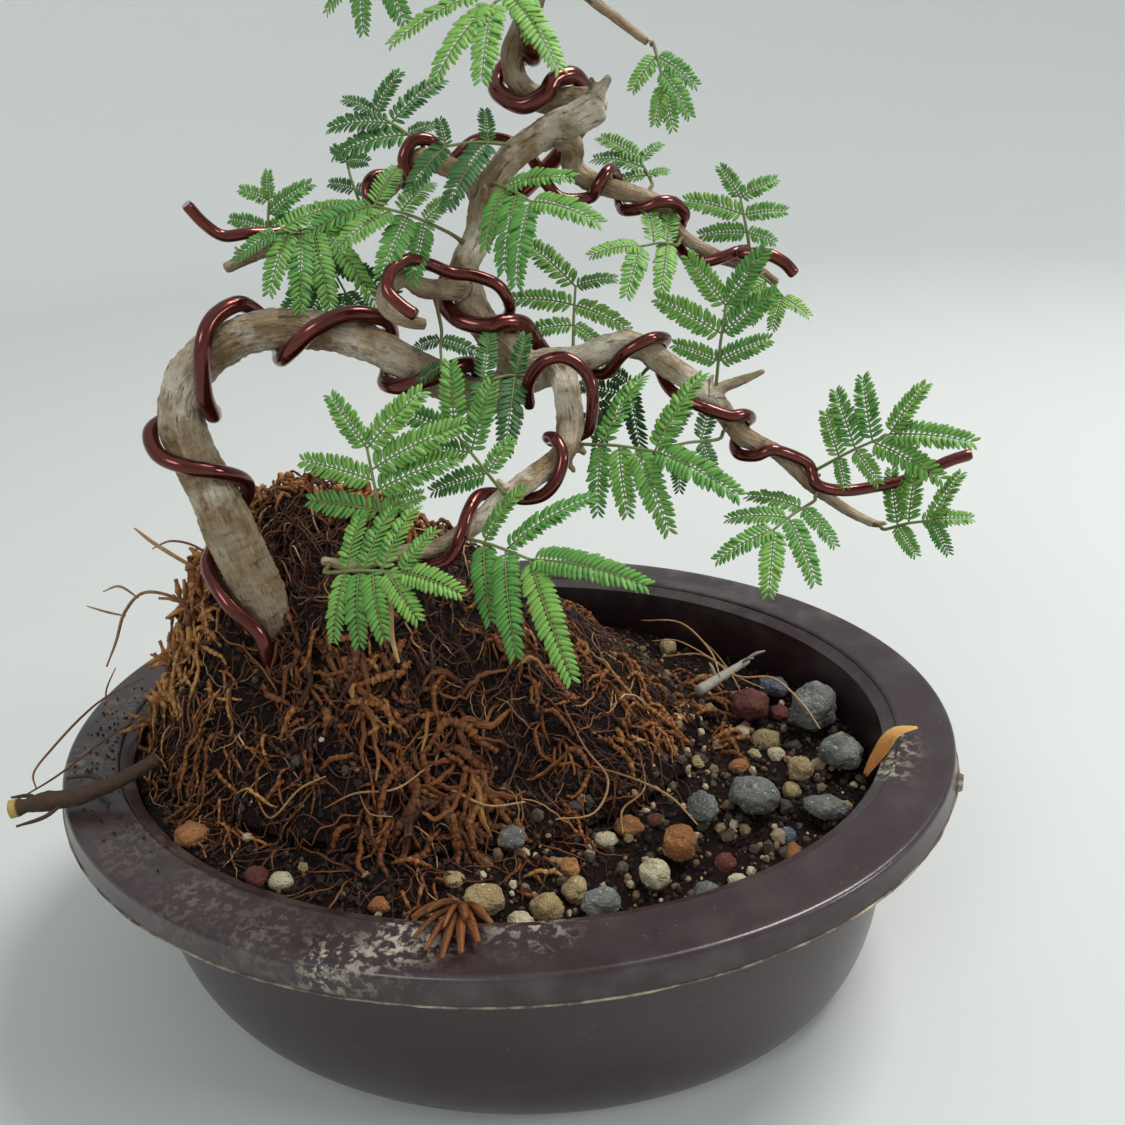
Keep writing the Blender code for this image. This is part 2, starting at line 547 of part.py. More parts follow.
# ---------------------------------------------------------------- wires: loose ends and turns
def wire_routes():
    arch = [(-47.5, -19.5, 82), (-47.8, -19.5, 92)] + wound(
        ARCH,
        [
            (1.5, -0.4), (2.0, -1), (2.5, -2), (3.0, -3), (3.5, -4), (4.0, -5), (4.2, -6), (4.5, -7),
            (5.4, -7.4), (6.2, -8), (6.9, -9), (7.15, -10), (7.45, -11), (8.2, -12), (9.1, -13),
            (9.35, -14), (9.6, -15), (10.3, -16), (10.9, -17), (11.2, -18),
        ],
        THICK_WIRE,
    )
    trunk = (
        [(22, 7.5, 144.5), (19, 5.5, 146)]
        + wound(LEADER, [(1.0, 1.3), (2.1, 0), (3.3, -1), (4.2, -2)], THICK_WIRE)
        + [(9, 10.5, 177), (13.5, 15.5, 181), (19, 20.5, 186), (24.5, 20, 191.5)]
        + wound(
            CROWN,
            [
                (0.95, 2), (1.2, 1), (2.1, 0), (3.6, -1), (4.4, -2), (5.2, -3), (6.4, -4), (7.2, -5),
                (7.8, -6), (8.4, -7),
            ],
            THICK_WIRE,
        )
    )
    upper = (
        [(-53, -3.5, 183), (-51.5, -1, 179), (-49, 1.5, 176), (-44.5, 3.5, 176)]
        + wound(
            UPPER_LEFT,
            [
                (9.3, 0.6), (8.7, 2), (8.2, 3.4), (7.6, 4.6), (6.8, 6), (6.2, 7.2), (5.4, 8.6), (4.8, 10),
                (4.0, 11.2), (3.0, 12.6), (2.2, 14),
            ],
            THIN_WIRE,
        )
        + [(4, 11.5, 190.5), (10, 12.5, 190.5), (15, 12.8, 187.5), (18, 11, 183), (21.5, 10.5, 179)]
        + wound(
            UPPER_RIGHT,
            [
                (3.0, 0.7), (3.25, -0.9), (3.45, -2), (3.65, -3), (4.3, -4), (5.4, -5), (5.9, -6), (6.4, -7),
                (7.0, -8), (7.6, -8.8),
            ],
            THIN_WIRE,
        )
        + [(57.5, 14.8, 166), (62.4, 14.2, 165.8), (66, 14.5, 164), (68.3, 14.6, 161.5)]
    )
    hook = [
        (-1, -21.3, 162.5), (-3.5, -21.6, 164.5), (-6, -21, 167.3), (-5.8, -18.5, 170.3),
        (-3.7, -14.3, 171.6), (-0.8, -10.3, 170), (2.4, -8, 168), (6.5, -6.3, 167), (10.6, -4.6, 164.8),
        (12.2, -2.6, 161), (10.6, 1.5, 157.6), (6.5, 5.6, 154.6),
    ]
    long_right = wound(
        LONG_RIGHT,
        [
            (1.6, 2), (2.8, 1), (4.2, 0.3), (5.0, -0.3), (5.6, -1), (6.0, -2), (6.6, -3), (7.7, -4),
            (8.5, -5), (8.8, -6), (9.1, -7), (9.8, -8), (10.6, -8.6),
        ],
        THIN_WIRE,
    ) + [
        (73.5, -0.5, 121.5), (79, 1.5, 119.4), (85, 3, 119.6), (92.5, 4.7, 120.8), (100, 6.3, 124),
        (104.5, 7.3, 125.2),
    ]
    low_front = (
        [
            (16.2, -9.5, 141.5), (17, -12, 147), (20.4, -13, 151.2), (24.6, -12.8, 152), (28.4, -13, 149.5),
            (30, -14, 145.5),
        ]
        + wound(
            LOW_FRONT,
            [
                (3.8, -1.2), (4.1, -2), (4.6, -3), (5.4, -4), (6.2, -5), (7.0, -6), (7.9, -7), (9.2, -8),
                (10.6, -9), (11.3, -9.6),
            ],
            THIN_WIRE,
        )
    )
    return {
        "arch_wire": (arch, THICK_WIRE, THICK_WIRE_RINGS),
        "trunk_wire": (trunk, THICK_WIRE, THICK_WIRE_RINGS),
        "upper_wire": (upper, THIN_WIRE, THIN_WIRE_RINGS),
        "hook_wire": (hook, THIN_WIRE, THIN_WIRE_RINGS),
        "long_right_wire": (long_right, THIN_WIRE, THIN_WIRE_RINGS),
        "low_front_wire": (low_front, THIN_WIRE, THIN_WIRE_RINGS),
    }


# ---------------------------------------------------------------- leaves
# name: base and tip of the leaf's stalk, pairs of pinnae, their length, spread in degrees, droop, bare share,
# facing, colour
LEAVES = {
    "leaf_top": ((20.5, 5.5, 235), (23, 3, 244), 3, 15, 60, 4, 0.3, (0.2, -0.9, 0.3), LIGHT),
    "leaf_top_front": ((19.5, 6, 217), (15, -6, 213), 3, 21, 66, 7, 0.4, (-0.1, -0.6, 0.8), LIGHT),
    "leaf_top_left": ((-5, 5, 227), (-11, 2, 221), 3, 15, 60, 4, 0.3, (-0.3, -0.8, 0.4), LIGHT),
    "leaf_top_right": ((41.5, 6.5, 205), (43.5, 3, 198), 2, 10, 60, 2, 0.3, (0.3, -0.9, 0.1), LIGHT),
    "leaf_dark_fan": ((-6, 9.5, 190.5), (-16, 12, 197), 3, 16, 62, 3, 0.3, (-0.2, -0.6, 0.6), DARK),
    "leaf_dark_left": ((-23, 14.5, 180), (-26, 18, 188), 2, 10, 60, 2, 0.3, (-0.3, -0.8, 0.3), DARK),
    "leaf_left_tip": ((-44.5, 13, 172.5), (-44, 15, 181.5), 3, 10, 58, 1, 0.2, (0.1, -0.9, 0.2), LIGHT),
    "leaf_hanging_front": ((-25, 8, 175), (-35, -2, 176.5), 3, 13, 76, 3, 0.25, (0.1, -0.75, 0.7), LIGHT),
    "leaf_hanging_back": ((-33, 13.5, 172.5), (-31, 18, 161), 3, 12, 60, 2, 0.2, (0.0, -0.9, 0.1), DARK),
    "leaf_trunk_left": ((1, -4.5, 175.5), (-9, -14, 181.5), 3, 12, 64, 1, 0.2, (-0.1, -0.75, 0.7), LIGHT),
    "leaf_pale_left": ((13, 2.5, 190), (3, -4, 190.5), 2, 14, 58, 5, 0.4, (-0.1, -0.6, 0.7), DARK),
    "leaf_trunk_front": ((11, -0.5, 183), (20, -11, 180.5), 3, 16, 68, 8, 0.25, (-0.2, -0.5, 0.8), LIGHT),
    "leaf_middle_back": ((23.5, 3.5, 151), (23, 13, 161), 3, 14, 62, 2, 0.3, (0.1, -0.8, 0.5), LIGHT),
    "leaf_upper_back": ((39, 21, 180), (36, 27, 184), 3, 12, 60, 2, 0.2, (0.0, -0.8, 0.6), LIGHT),
    "leaf_upper_down": ((44.5, 13.5, 168.5), (38, 6, 169.5), 3, 13, 62, 4, 0.2, (-0.2, -0.6, 0.6), LIGHT),
    "leaf_upper_end": ((59, 22.5, 166), (57, 24.5, 176), 3, 11, 62, 1, 0.25, (0.1, -0.9, 0.2), LIGHT),
    "leaf_upper_yellow": ((61.5, 17, 161), (66, 12, 157.5), 2, 9, 58, 3, 0.2, (0.2, -0.7, 0.5), LIGHT),
    "leaf_right_up": ((53, 0, 143), (55, -3, 159), 3, 13, 60, 2, 0.3, (-0.1, -0.9, 0.2), LIGHT),
    "leaf_far_up": ((74, 1, 124.5), (87, -3, 133), 4, 13, 66, 2, 0.2, (-0.2, -0.8, 0.5), LIGHT),
    "leaf_far_end": ((88, 2, 110.5), (96, -5, 115.5), 3, 10, 66, 1, 0.25, (-0.2, -0.8, 0.5), LIGHT),
    "leaf_far_down": ((73, 0, 117.5), (65, -9, 115), 3, 13, 66, 5, 0.2, (-0.2, -0.6, 0.8), LIGHT),
    "leaf_front_big": ((28, -17, 136), (43, -26, 137.5), 3, 15, 68, 5, 0.2, (-0.1, -0.7, 0.7), LIGHT),
    "leaf_under_long": ((53.5, -4, 132.5), (42, -10, 132.5), 3, 10, 74, 2, 0.2, (0.0, -0.9, 0.4), DARK),
    "leaf_inner_right": ((37, 4.5, 143.5), (31, 7, 137), 3, 12, 62, 2, 0.25, (0.2, -0.8, 0.5), DARK),
    "leaf_low_left": ((-5, -41, 126), (-8, -37, 142), 3, 16, 56, 2, 0.35, (0.1, -0.9, 0.3), LIGHT),
    "leaf_low_end": ((-15, -47.5, 122), (2, -54, 125.5), 5, 11, 76, 5, 0.1, (0.0, -0.6, 0.8), LIGHT),
    "leaf_middle_left": ((15, -32, 132), (7, -31, 143), 3, 14, 60, 2, 0.25, (-0.1, -0.9, 0.3), LIGHT),
    "leaf_junction": ((16, -8, 147.5), (9, -16, 148.5), 2, 11, 66, 2, 0.2, (-0.2, -0.8, 0.5), DARK),
    "leaf_low_front": ((9, -37, 124.5), (23.5, -49, 126), 4, 16, 66, 9, 0.15, (-0.2, -0.5, 0.8), LIGHT),
    "leaf_small_hook": ((-0.5, -9, 157), (0, -13, 151), 2, 7, 55, 1, 0.2, (0.0, -0.9, 0.3), DARK),
}


def wood_points():
    """Points all along the trunk and the branches, each with the radius there."""
    found = []
    for route, radii in [ARCH, *LIMBS.values()]:
        steps = 4 * (len(route) - 1)
        found += [(curve_at(route, i / 4), along(radii, i / 4)) for i in range(steps + 1)]
    return found


def clear_of_wood(base, tip):
    """The base of a stalk, moved towards its tip until it stands off the bark by GAP."""
    wood = wood_points()
    stand_off = GAP + LEAF_THICKNESS
    ahead = (tip - base).normalized()
    for step in range(12):
        start = base + ahead * step * 0.4
        if all((start - centre).length > radius + stand_off for centre, radius in wood):
            return start
    return base


def make_leaf(name, base, tip, pairs, length, spread, droop, bare, facing, look):
    """A thin feather: a stalk with pinnae in opposite pairs, all one sheet of LEAF_THICKNESS."""
    base, tip = clear_of_wood(Vector(base), Vector(tip)), Vector(tip)
    ahead = (tip - base).normalized()
    up = (Vector(facing) - ahead * Vector(facing).dot(ahead)).normalized()
    left = up.cross(ahead)
    stalk = (tip - base).length
    gap = (1 - bare) * stalk / pairs
    middles = [stalk * bare + gap * (pair + 0.5) for pair in range(pairs)]
    rows = [0.0] + [middle + side * 0.3 * gap for middle in middles for side in (-1, 1)]
    points = [base + ahead * row + left * side * RACHIS_WIDTH / 2 for row in rows for side in (1, -1)]
    faces = [[2 * i, 2 * i + 1, 2 * i + 3, 2 * i + 2] for i in range(len(rows) - 1)]
    fan = math.radians(0.45 * spread) / max(1, pairs - 1)  # by which each pair leans further forward
    for pair in range(pairs):
        angle = math.radians(spread) - fan * pair
        reach = length * (0.8 + 0.2 * math.sin(math.pi * (pair + 1) / (pairs + 0.5)))
        room = gap * math.sin(angle) + PINNA_WIDEST * reach * fan
        widest = min(PINNA_WIDTH, PINNA_CROWDING * room)
        for side, offset in ((1, 0), (-1, 1)):
            edge = [2 * (1 + 2 * pair) + offset, 2 * (2 + 2 * pair) + offset]
            out = ahead * math.cos(angle) + left * side * math.sin(angle)
            start = (points[edge[0]] + points[edge[1]]) / 2
            across = out.cross(up) * side
            for share, width in ((PINNA_WIDEST, widest), (1.0, widest * PINNA_TIP)):
                middle = start + out * reach * share - Vector((0, 0, droop * share * share))
                points += [middle - across * width / 2, middle + across * width / 2]
                last = len(points) - 1
                faces.append([edge[0], edge[1], last, last - 1])
                edge = [last - 1, last]
    colour = finish("leaf_light" if look is LIGHT else "leaf_dark", look)
    sheet(name, [p + TREE_SHIFT for p in points], faces, LEAF_THICKNESS, colour)


def sheet(name, points, faces, thickness, material):
    """A thin sheet given thickness, its outline staying where it is."""
    piece = solid(name, points, faces, material)
    skin = piece.modifiers.new("thickness", "SOLIDIFY")
    skin.thickness = thickness * MM
    skin.offset = 0.0


# ---------------------------------------------------------------- small things on the soil
# name: points on the plan, the radius at each, spacing of the rings, finish
ODDS_AND_ENDS = {
    "root_over_rim": (
        [(-67, -40, 72), (-74, -44, 69), (-82, -48, 67.2), (-89, -50.5, 67), (-95, -53, 66.6)],
        [1.6, 1.9, 2.1, 2.3, 2.1], 3.0, finish("dead_root", DEAD_ROOT),
    ),
    "grey_twig": (
        [(48, 12, 62.5), (53.5, 21, 61.5), (59.5, 31.5, 60)], [1.3, 1.2, 0.9], 4.0,
        finish("grey_wood", GREY_WOOD),
    ),
    "dry_leaf": (
        [(86, -11.5, 57), (89.3, -9.5, 61.5), (92.2, -7.5, 65.3), (97, -5, 66)], [0.5, 1.1, 1.1, 0.4], 2.5,
        finish("dry_leaf", DRY_LEAF),
    ),
}


def make_odds_and_ends():
    for name, (plan, radii, spacing, material) in ODDS_AND_ENDS.items():
        tube(name, [on_plot(*point) for point in plan], radii, TWIG_SIDES, spacing, material, shift=Vector())


def main():
    for item in list(bpy.data.objects):
        bpy.data.objects.remove(item, do_unlink=True)
    make_pot()
    make_soil()
    bark = finish("bark", BARK)
    routes = wire_routes()
    arch_wire = routes["arch_wire"][0][:8]
    sockets = (
        tube("trunk_socket", *ARCH, BARK_SIDES, 3.0, bark, GAP, (0.0, 3.0)),
        tube("wire_socket", arch_wire, [THICK_WIRE] * len(arch_wire), WIRE_SIDES, 2.0, bark, GAP),
    )
    make_root_ball(sockets)
    for name, clump in MOSS_CLUMPS.items():
        make_moss(name, *clump, sockets)
    for name, stone in STONES.items():
        make_stone(name, *stone)
    make_tree()
    copper = finish("wire", WIRE)
    for name, (route, radius, spacing) in routes.items():
        tube(name, route, [radius] * len(route), WIRE_SIDES, spacing, copper)
    for name, leaf in LEAVES.items():
        make_leaf(name, *leaf)
    make_odds_and_ends()


main()
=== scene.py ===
"""How the bonsai tree in its oval pot looks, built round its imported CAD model.

The frame is the model's own: +Z up, origin under the middle of the pot, +X along the pot's long axis. Shapes
are worked out in millimetres, as the model is, and MM turns them into metres where a mesh is made.
"""

import math
import random

import bpy
import numpy as np
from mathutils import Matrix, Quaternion, Vector, kdtree, noise
from mathutils.bvhtree import BVHTree


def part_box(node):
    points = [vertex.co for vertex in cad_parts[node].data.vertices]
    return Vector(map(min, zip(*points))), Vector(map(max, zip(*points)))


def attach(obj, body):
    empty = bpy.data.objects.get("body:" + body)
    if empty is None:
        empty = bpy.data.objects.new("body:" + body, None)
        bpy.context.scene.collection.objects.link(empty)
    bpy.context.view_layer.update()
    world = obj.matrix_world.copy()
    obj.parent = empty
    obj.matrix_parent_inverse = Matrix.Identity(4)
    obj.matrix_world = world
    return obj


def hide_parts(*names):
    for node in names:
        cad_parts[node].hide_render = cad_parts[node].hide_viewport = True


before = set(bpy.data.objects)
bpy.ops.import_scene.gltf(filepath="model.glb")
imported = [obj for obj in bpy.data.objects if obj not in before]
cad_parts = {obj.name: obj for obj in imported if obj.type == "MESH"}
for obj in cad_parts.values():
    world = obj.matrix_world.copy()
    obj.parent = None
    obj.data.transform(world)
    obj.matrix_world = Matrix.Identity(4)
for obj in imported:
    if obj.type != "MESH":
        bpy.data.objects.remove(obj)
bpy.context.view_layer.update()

MM = 0.001
UP = np.array((0.0, 0.0, 1.0))


def box_mm(node):
    low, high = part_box(node)
    return np.array(low) / MM, np.array(high) / MM


# ---------------------------------------------------------------- meshes
class Gather:
    """Corners and faces of one piece, in millimetres, with a tone from 0 to 1 at each corner."""

    def __init__(self):
        self.corners = []
        self.faces = []
        self.tones = []
        self.finishes = []
        self.count = 0

    def add(self, corners, faces, tone=0.5, finish=0):
        corners = np.asarray(corners, float)
        self.corners.append(corners)
        self.tones.append(np.broadcast_to(np.asarray(tone, float), (len(corners),)))
        start = self.count
        self.faces += [tuple(start + i for i in face) for face in faces]
        self.finishes += [finish] * len(faces)
        self.count += len(corners)

    def all_corners(self):
        return np.concatenate(self.corners)


def piece(name, corners, faces, materials, replaced=(), tones=None, finishes=None, flat_angle=None):
    """A mesh object riding on the model, which stands for the replaced nodes."""
    mesh = bpy.data.meshes.new(name)
    mesh.from_pydata((np.asarray(corners, float) * MM).tolist(), [], faces)
    for material in materials:
        mesh.materials.append(material)
    if finishes is not None:
        mesh.polygons.foreach_set("material_index", finishes)
    if tones is not None:
        mesh.attributes.new("tone", "FLOAT", "POINT").data.foreach_set("value", np.asarray(tones, np.float32))
    mesh.shade_smooth()
    if flat_angle is not None:
        mesh.set_sharp_from_angle(angle=math.radians(flat_angle))
    mesh.validate()
    made = bpy.data.objects.new(name, mesh)
    bpy.context.scene.collection.objects.link(made)
    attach(made, "root")
    if replaced:
        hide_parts(*replaced)
    return made


def gathered_piece(name, gather, materials, replaced=(), flat_angle=None):
    return piece(
        name, gather.all_corners(), gather.faces, materials, replaced,
        np.concatenate(gather.tones), gather.finishes, flat_angle,
    )


def spline(route, steps):
    """Points on a smooth curve through the route, so many steps to each of its spans."""
    route = np.asarray(route, float)
    ends = np.vstack([2 * route[0] - route[1], route, 2 * route[-1] - route[-2]])
    u = np.arange(steps)[:, None] / steps
    spans = []
    for i in range(len(route) - 1):
        a, b, c, d = ends[i : i + 4]
        slope_b, slope_c = (c - a) / 2, (d - b) / 2
        spans.append(
            b * (2 * u**3 - 3 * u**2 + 1)
            + slope_b * (u**3 - 2 * u**2 + u)
            + c * (3 * u**2 - 2 * u**3)
            + slope_c * (u**3 - u**2)
        )
    return np.vstack([*spans, route[-1:]])


def spread(values, steps):
    """A list of values, one to each route point, spread evenly over the spline's points."""
    values = np.asarray(values, float)
    places = np.arange((len(values) - 1) * steps + 1) / steps
    return np.interp(places, np.arange(len(values)), values)


def unit(v):
    return v / (np.linalg.norm(v) + 1e-9)


def frames(line):
    """The way ahead, and two directions across it that don't twist, at each point of a line."""
    ahead = np.gradient(line, axis=0)
    ahead /= np.linalg.norm(ahead, axis=1)[:, None] + 1e-9
    across = np.empty_like(ahead)
    side = np.array(Vector(ahead[0]).orthogonal().normalized())
    for i, t in enumerate(ahead):
        side = unit(side - t * side.dot(t))
        across[i] = side
    return ahead, across, np.cross(ahead, across)


def turned(across, beside, along_across, along_beside):
    """The same outline at every point of a line, from its two directions across."""
    return across[:, None] * along_across[None, :, None] + beside[:, None] * along_beside[None, :, None]


def tube(gather, line, radii, sides, tone=0.5, flatness=1.0, finish=0, end_finish=None):
    """A closed tube along a line, with a short cone at each end. flatness squeezes it one way."""
    line = np.asarray(line, float)
    count = len(line)
    ahead, across, beside = frames(line)
    radii = np.broadcast_to(np.asarray(radii, float), (count,))
    turns = math.tau * np.arange(sides) / sides
    ring = turned(across, beside, np.cos(turns), flatness * np.sin(turns))
    corners = (line[:, None] + ring * radii[:, None, None]).reshape(-1, 3)
    tips = np.array([line[0] - ahead[0] * radii[0] * 0.25, line[-1] + ahead[-1] * radii[-1] * 0.25])
    faces = []
    for i in range(count - 1):
        for k in range(sides):
            n = (k + 1) % sides
            faces.append((i * sides + k, i * sides + n, (i + 1) * sides + n, (i + 1) * sides + k))
    start, end, last = count * sides, count * sides + 1, (count - 1) * sides
    lids = []
    for k in range(sides):
        n = (k + 1) % sides
        lids += [(start, n, k), (end, last + k, last + n)]
    tone = np.asarray(tone, float)
    tones = np.append(np.repeat(tone, sides), (tone[0], tone[-1])) if tone.ndim else tone
    gather.add(np.vstack([corners, tips]), faces + lids, tones, finish)
    if end_finish is not None:
        gather.finishes[-len(lids) :] = [end_finish] * len(lids)


def ring_faces(rings, sides):
    """Faces of a closed skin made of rings, with a lid on its first and its last ring."""
    faces = [tuple(reversed(range(sides))), tuple(range((rings - 1) * sides, rings * sides))]
    for i in range(rings - 1):
        for k in range(sides):
            n = (k + 1) % sides
            faces.append((i * sides + k, i * sides + n, (i + 1) * sides + n, (i + 1) * sides + k))
    return faces


def remeshed(corners, faces, voxel, smoothing):
    """The skin of overlapping closed shapes as one even mesh: its corners, outward normals and faces."""
    mesh = bpy.data.meshes.new("rough shape")
    mesh.from_pydata(np.asarray(corners, float).tolist(), [], faces)
    rough = bpy.data.objects.new("rough shape", mesh)
    bpy.context.scene.collection.objects.link(rough)
    skin = rough.modifiers.new("skin", "REMESH")
    skin.mode = "VOXEL"
    skin.voxel_size = voxel
    relax = rough.modifiers.new("relax", "SMOOTH")
    relax.factor = 0.5
    relax.iterations = smoothing
    evaluated = rough.evaluated_get(bpy.context.evaluated_depsgraph_get())
    done = evaluated.to_mesh()
    count = len(done.vertices)
    points, normals = np.empty(count * 3), np.empty(count * 3)
    done.vertices.foreach_get("co", points)
    done.vertices.foreach_get("normal", normals)
    polygons = [tuple(face.vertices) for face in done.polygons]
    evaluated.to_mesh_clear()
    bpy.data.objects.remove(rough)
    bpy.data.meshes.remove(mesh)
    return points.reshape(-1, 3), normals.reshape(-1, 3), polygons


def node_shape(node):
    """Corners in millimetres and faces of a CAD node, its doubled corners made one."""
    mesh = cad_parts[node].data
    corners = np.array([v.co for v in mesh.vertices]) / MM
    whole, index = np.unique(np.round(corners, 3), axis=0, return_inverse=True)
    index = index.reshape(-1)
    faces = [tuple(int(index[i]) for i in face.vertices) for face in mesh.polygons]
    return whole, [face for face in faces if len(set(face)) == len(face)]


def lumps(point, size, depth=3):
    """Smooth noise from about -1 to 1 whose bumps are about so many millimetres across."""
    return noise.fractal(Vector(point) / size, 0.9, 2.1, depth)


# ---------------------------------------------------------------- shader groups
def new_group(name, inputs, outputs):
    tree = bpy.data.node_groups.new(name, "ShaderNodeTree")
    for label, kind, value in inputs:
        tree.interface.new_socket(label, in_out="INPUT", socket_type=kind).default_value = value
    for label, kind in outputs:
        tree.interface.new_socket(label, in_out="OUTPUT", socket_type=kind)
    return tree, tree.nodes.new("NodeGroupInput"), tree.nodes.new("NodeGroupOutput")


def maths(tree, operation, a, b):
    node = tree.nodes.new("ShaderNodeMath")
    node.operation = operation
    for socket, value in zip(node.inputs, (a, b)):
        if isinstance(value, (int, float)):
            socket.default_value = value
        else:
            tree.links.new(value, socket)
    return node.outputs[0]


def noise_node(tree, vector, scale, detail, roughness=0.55):
    node = tree.nodes.new("ShaderNodeTexNoise")
    node.inputs["Detail"].default_value = detail
    node.inputs["Roughness"].default_value = roughness
    if isinstance(scale, (int, float)):
        node.inputs["Scale"].default_value = scale
    else:
        tree.links.new(scale, node.inputs["Scale"])
    tree.links.new(vector, node.inputs["Vector"])
    return node.outputs["Fac"]


def make_patches_group():
    """Ragged patches: Coverage 0 is none, 1 is nearly everywhere."""
    tree, given, out = new_group(
        "Patches",
        [
            ("Vector", "NodeSocketVector", (0, 0, 0)),
            ("Scale", "NodeSocketFloat", 100.0),
            ("Coverage", "NodeSocketFloat", 0.5),
            ("Softness", "NodeSocketFloat", 0.08),
        ],
        [("Mask", "NodeSocketFloat")],
    )
    value = noise_node(tree, given.outputs["Vector"], given.outputs["Scale"], 7.0, 0.62)
    start = maths(tree, "SUBTRACT", 0.74, maths(tree, "MULTIPLY", given.outputs["Coverage"], 0.5))
    over = maths(tree, "SUBTRACT", value, start)
    share = tree.nodes.new("ShaderNodeMath")
    share.operation = "DIVIDE"
    share.use_clamp = True
    tree.links.new(over, share.inputs[0])
    tree.links.new(given.outputs["Softness"], share.inputs[1])
    tree.links.new(share.outputs[0], out.inputs["Mask"])
    return tree


def make_relief_group():
    """Two sizes of bumps as one height."""
    tree, given, out = new_group(
        "Relief",
        [
            ("Vector", "NodeSocketVector", (0, 0, 0)),
            ("Coarse", "NodeSocketFloat", 300.0),
            ("Fine", "NodeSocketFloat", 1500.0),
            ("Fine Share", "NodeSocketFloat", 0.4),
        ],
        [("Height", "NodeSocketFloat")],
    )
    coarse = noise_node(tree, given.outputs["Vector"], given.outputs["Coarse"], 3.0)
    fine = noise_node(tree, given.outputs["Vector"], given.outputs["Fine"], 2.0)
    both = maths(tree, "ADD", coarse, maths(tree, "MULTIPLY", fine, given.outputs["Fine Share"]))
    tree.links.new(both, out.inputs["Height"])
    return tree


def make_tones_group():
    """A colour from dark through middle to light as Tone goes from 0 to 1."""
    tree, given, out = new_group(
        "Tones",
        [
            ("Tone", "NodeSocketFloat", 0.5),
            ("Dark", "NodeSocketColor", (0, 0, 0, 1)),
            ("Middle", "NodeSocketColor", (0.5, 0.5, 0.5, 1)),
            ("Light", "NodeSocketColor", (1, 1, 1, 1)),
        ],
        [("Color", "NodeSocketColor")],
    )
    result = given.outputs["Dark"]
    for label, start in (("Middle", 0.0), ("Light", 0.5)):
        share = tree.nodes.new("ShaderNodeMapRange")
        share.inputs["From Min"].default_value = start
        share.inputs["From Max"].default_value = start + 0.5
        tree.links.new(given.outputs["Tone"], share.inputs["Value"])
        result = mix_colour(tree, share.outputs["Result"], result, given.outputs[label])
    tree.links.new(result, out.inputs["Color"])
    return tree


def mix_colour(tree, share, first, second):
    node = tree.nodes.new("ShaderNodeMix")
    node.data_type = "RGBA"
    for socket, value in zip((node.inputs[0], node.inputs[6], node.inputs[7]), (share, first, second)):
        if isinstance(value, (int, float)):
            socket.default_value = value
        elif isinstance(value, tuple):
            socket.default_value = (*value, 1.0)
        else:
            tree.links.new(value, socket)
    return node.outputs[2]


PATCHES, RELIEF, TONES = make_patches_group(), make_relief_group(), make_tones_group()


class Finish:
    """A material under construction: its node tree and the few things that are put in it."""

    def __init__(self, name, roughness, metallic=0.0, coat=0.0, specular=0.5):
        self.material = bpy.data.materials.new(name)
        self.material.use_nodes = True
        self.tree = self.material.node_tree
        self.shader = self.tree.nodes["Principled BSDF"]
        self.shader.inputs["Roughness"].default_value = roughness
        self.shader.inputs["Metallic"].default_value = metallic
        self.shader.inputs["Coat Weight"].default_value = coat
        self.shader.inputs["Specular IOR Level"].default_value = specular
        self.place = self.tree.nodes.new("ShaderNodeTexCoord").outputs["Object"]

    def attribute(self, name, output="Fac"):
        node = self.tree.nodes.new("ShaderNodeAttribute")
        node.attribute_name = name
        return node.outputs[output]

    def group(self, tree, output, **values):
        node = self.tree.nodes.new("ShaderNodeGroup")
        node.node_tree = tree
        for label, value in values.items():
            socket = node.inputs[label.replace("_", " ")]
            if isinstance(value, (int, float)):
                socket.default_value = value
            elif isinstance(value, tuple):
                socket.default_value = (*value, 1.0)
            else:
                self.tree.links.new(value, socket)
        return node.outputs[output]

    def patches(self, scale, coverage, softness=0.08, vector=None):
        place = vector or self.place
        return self.group(PATCHES, "Mask", Vector=place, Scale=scale, Coverage=coverage, Softness=softness)

    def tones(self, tone, dark, middle, light):
        return self.group(TONES, "Color", Tone=tone, Dark=dark, Middle=middle, Light=light)

    def mix(self, share, first, second):
        return mix_colour(self.tree, share, first, second)

    def times(self, a, b):
        return maths(self.tree, "MULTIPLY", a, b)

    def plus(self, a, b):
        return maths(self.tree, "ADD", a, b)

    def colour(self, value):
        self.tree.links.new(value, self.shader.inputs["Base Color"])

    def roughness(self, value):
        self.tree.links.new(value, self.shader.inputs["Roughness"])

    def bump(self, height, strength, distance):
        node = self.tree.nodes.new("ShaderNodeBump")
        node.inputs["Strength"].default_value = strength
        node.inputs["Distance"].default_value = distance
        self.tree.links.new(height, node.inputs["Height"])
        self.tree.links.new(node.outputs["Normal"], self.shader.inputs["Normal"])

    def relief(self, coarse, fine, share, strength, distance):
        height = self.group(RELIEF, "Height", Vector=self.place, Coarse=coarse, Fine=fine, Fine_Share=share)
        self.bump(height, strength, distance)


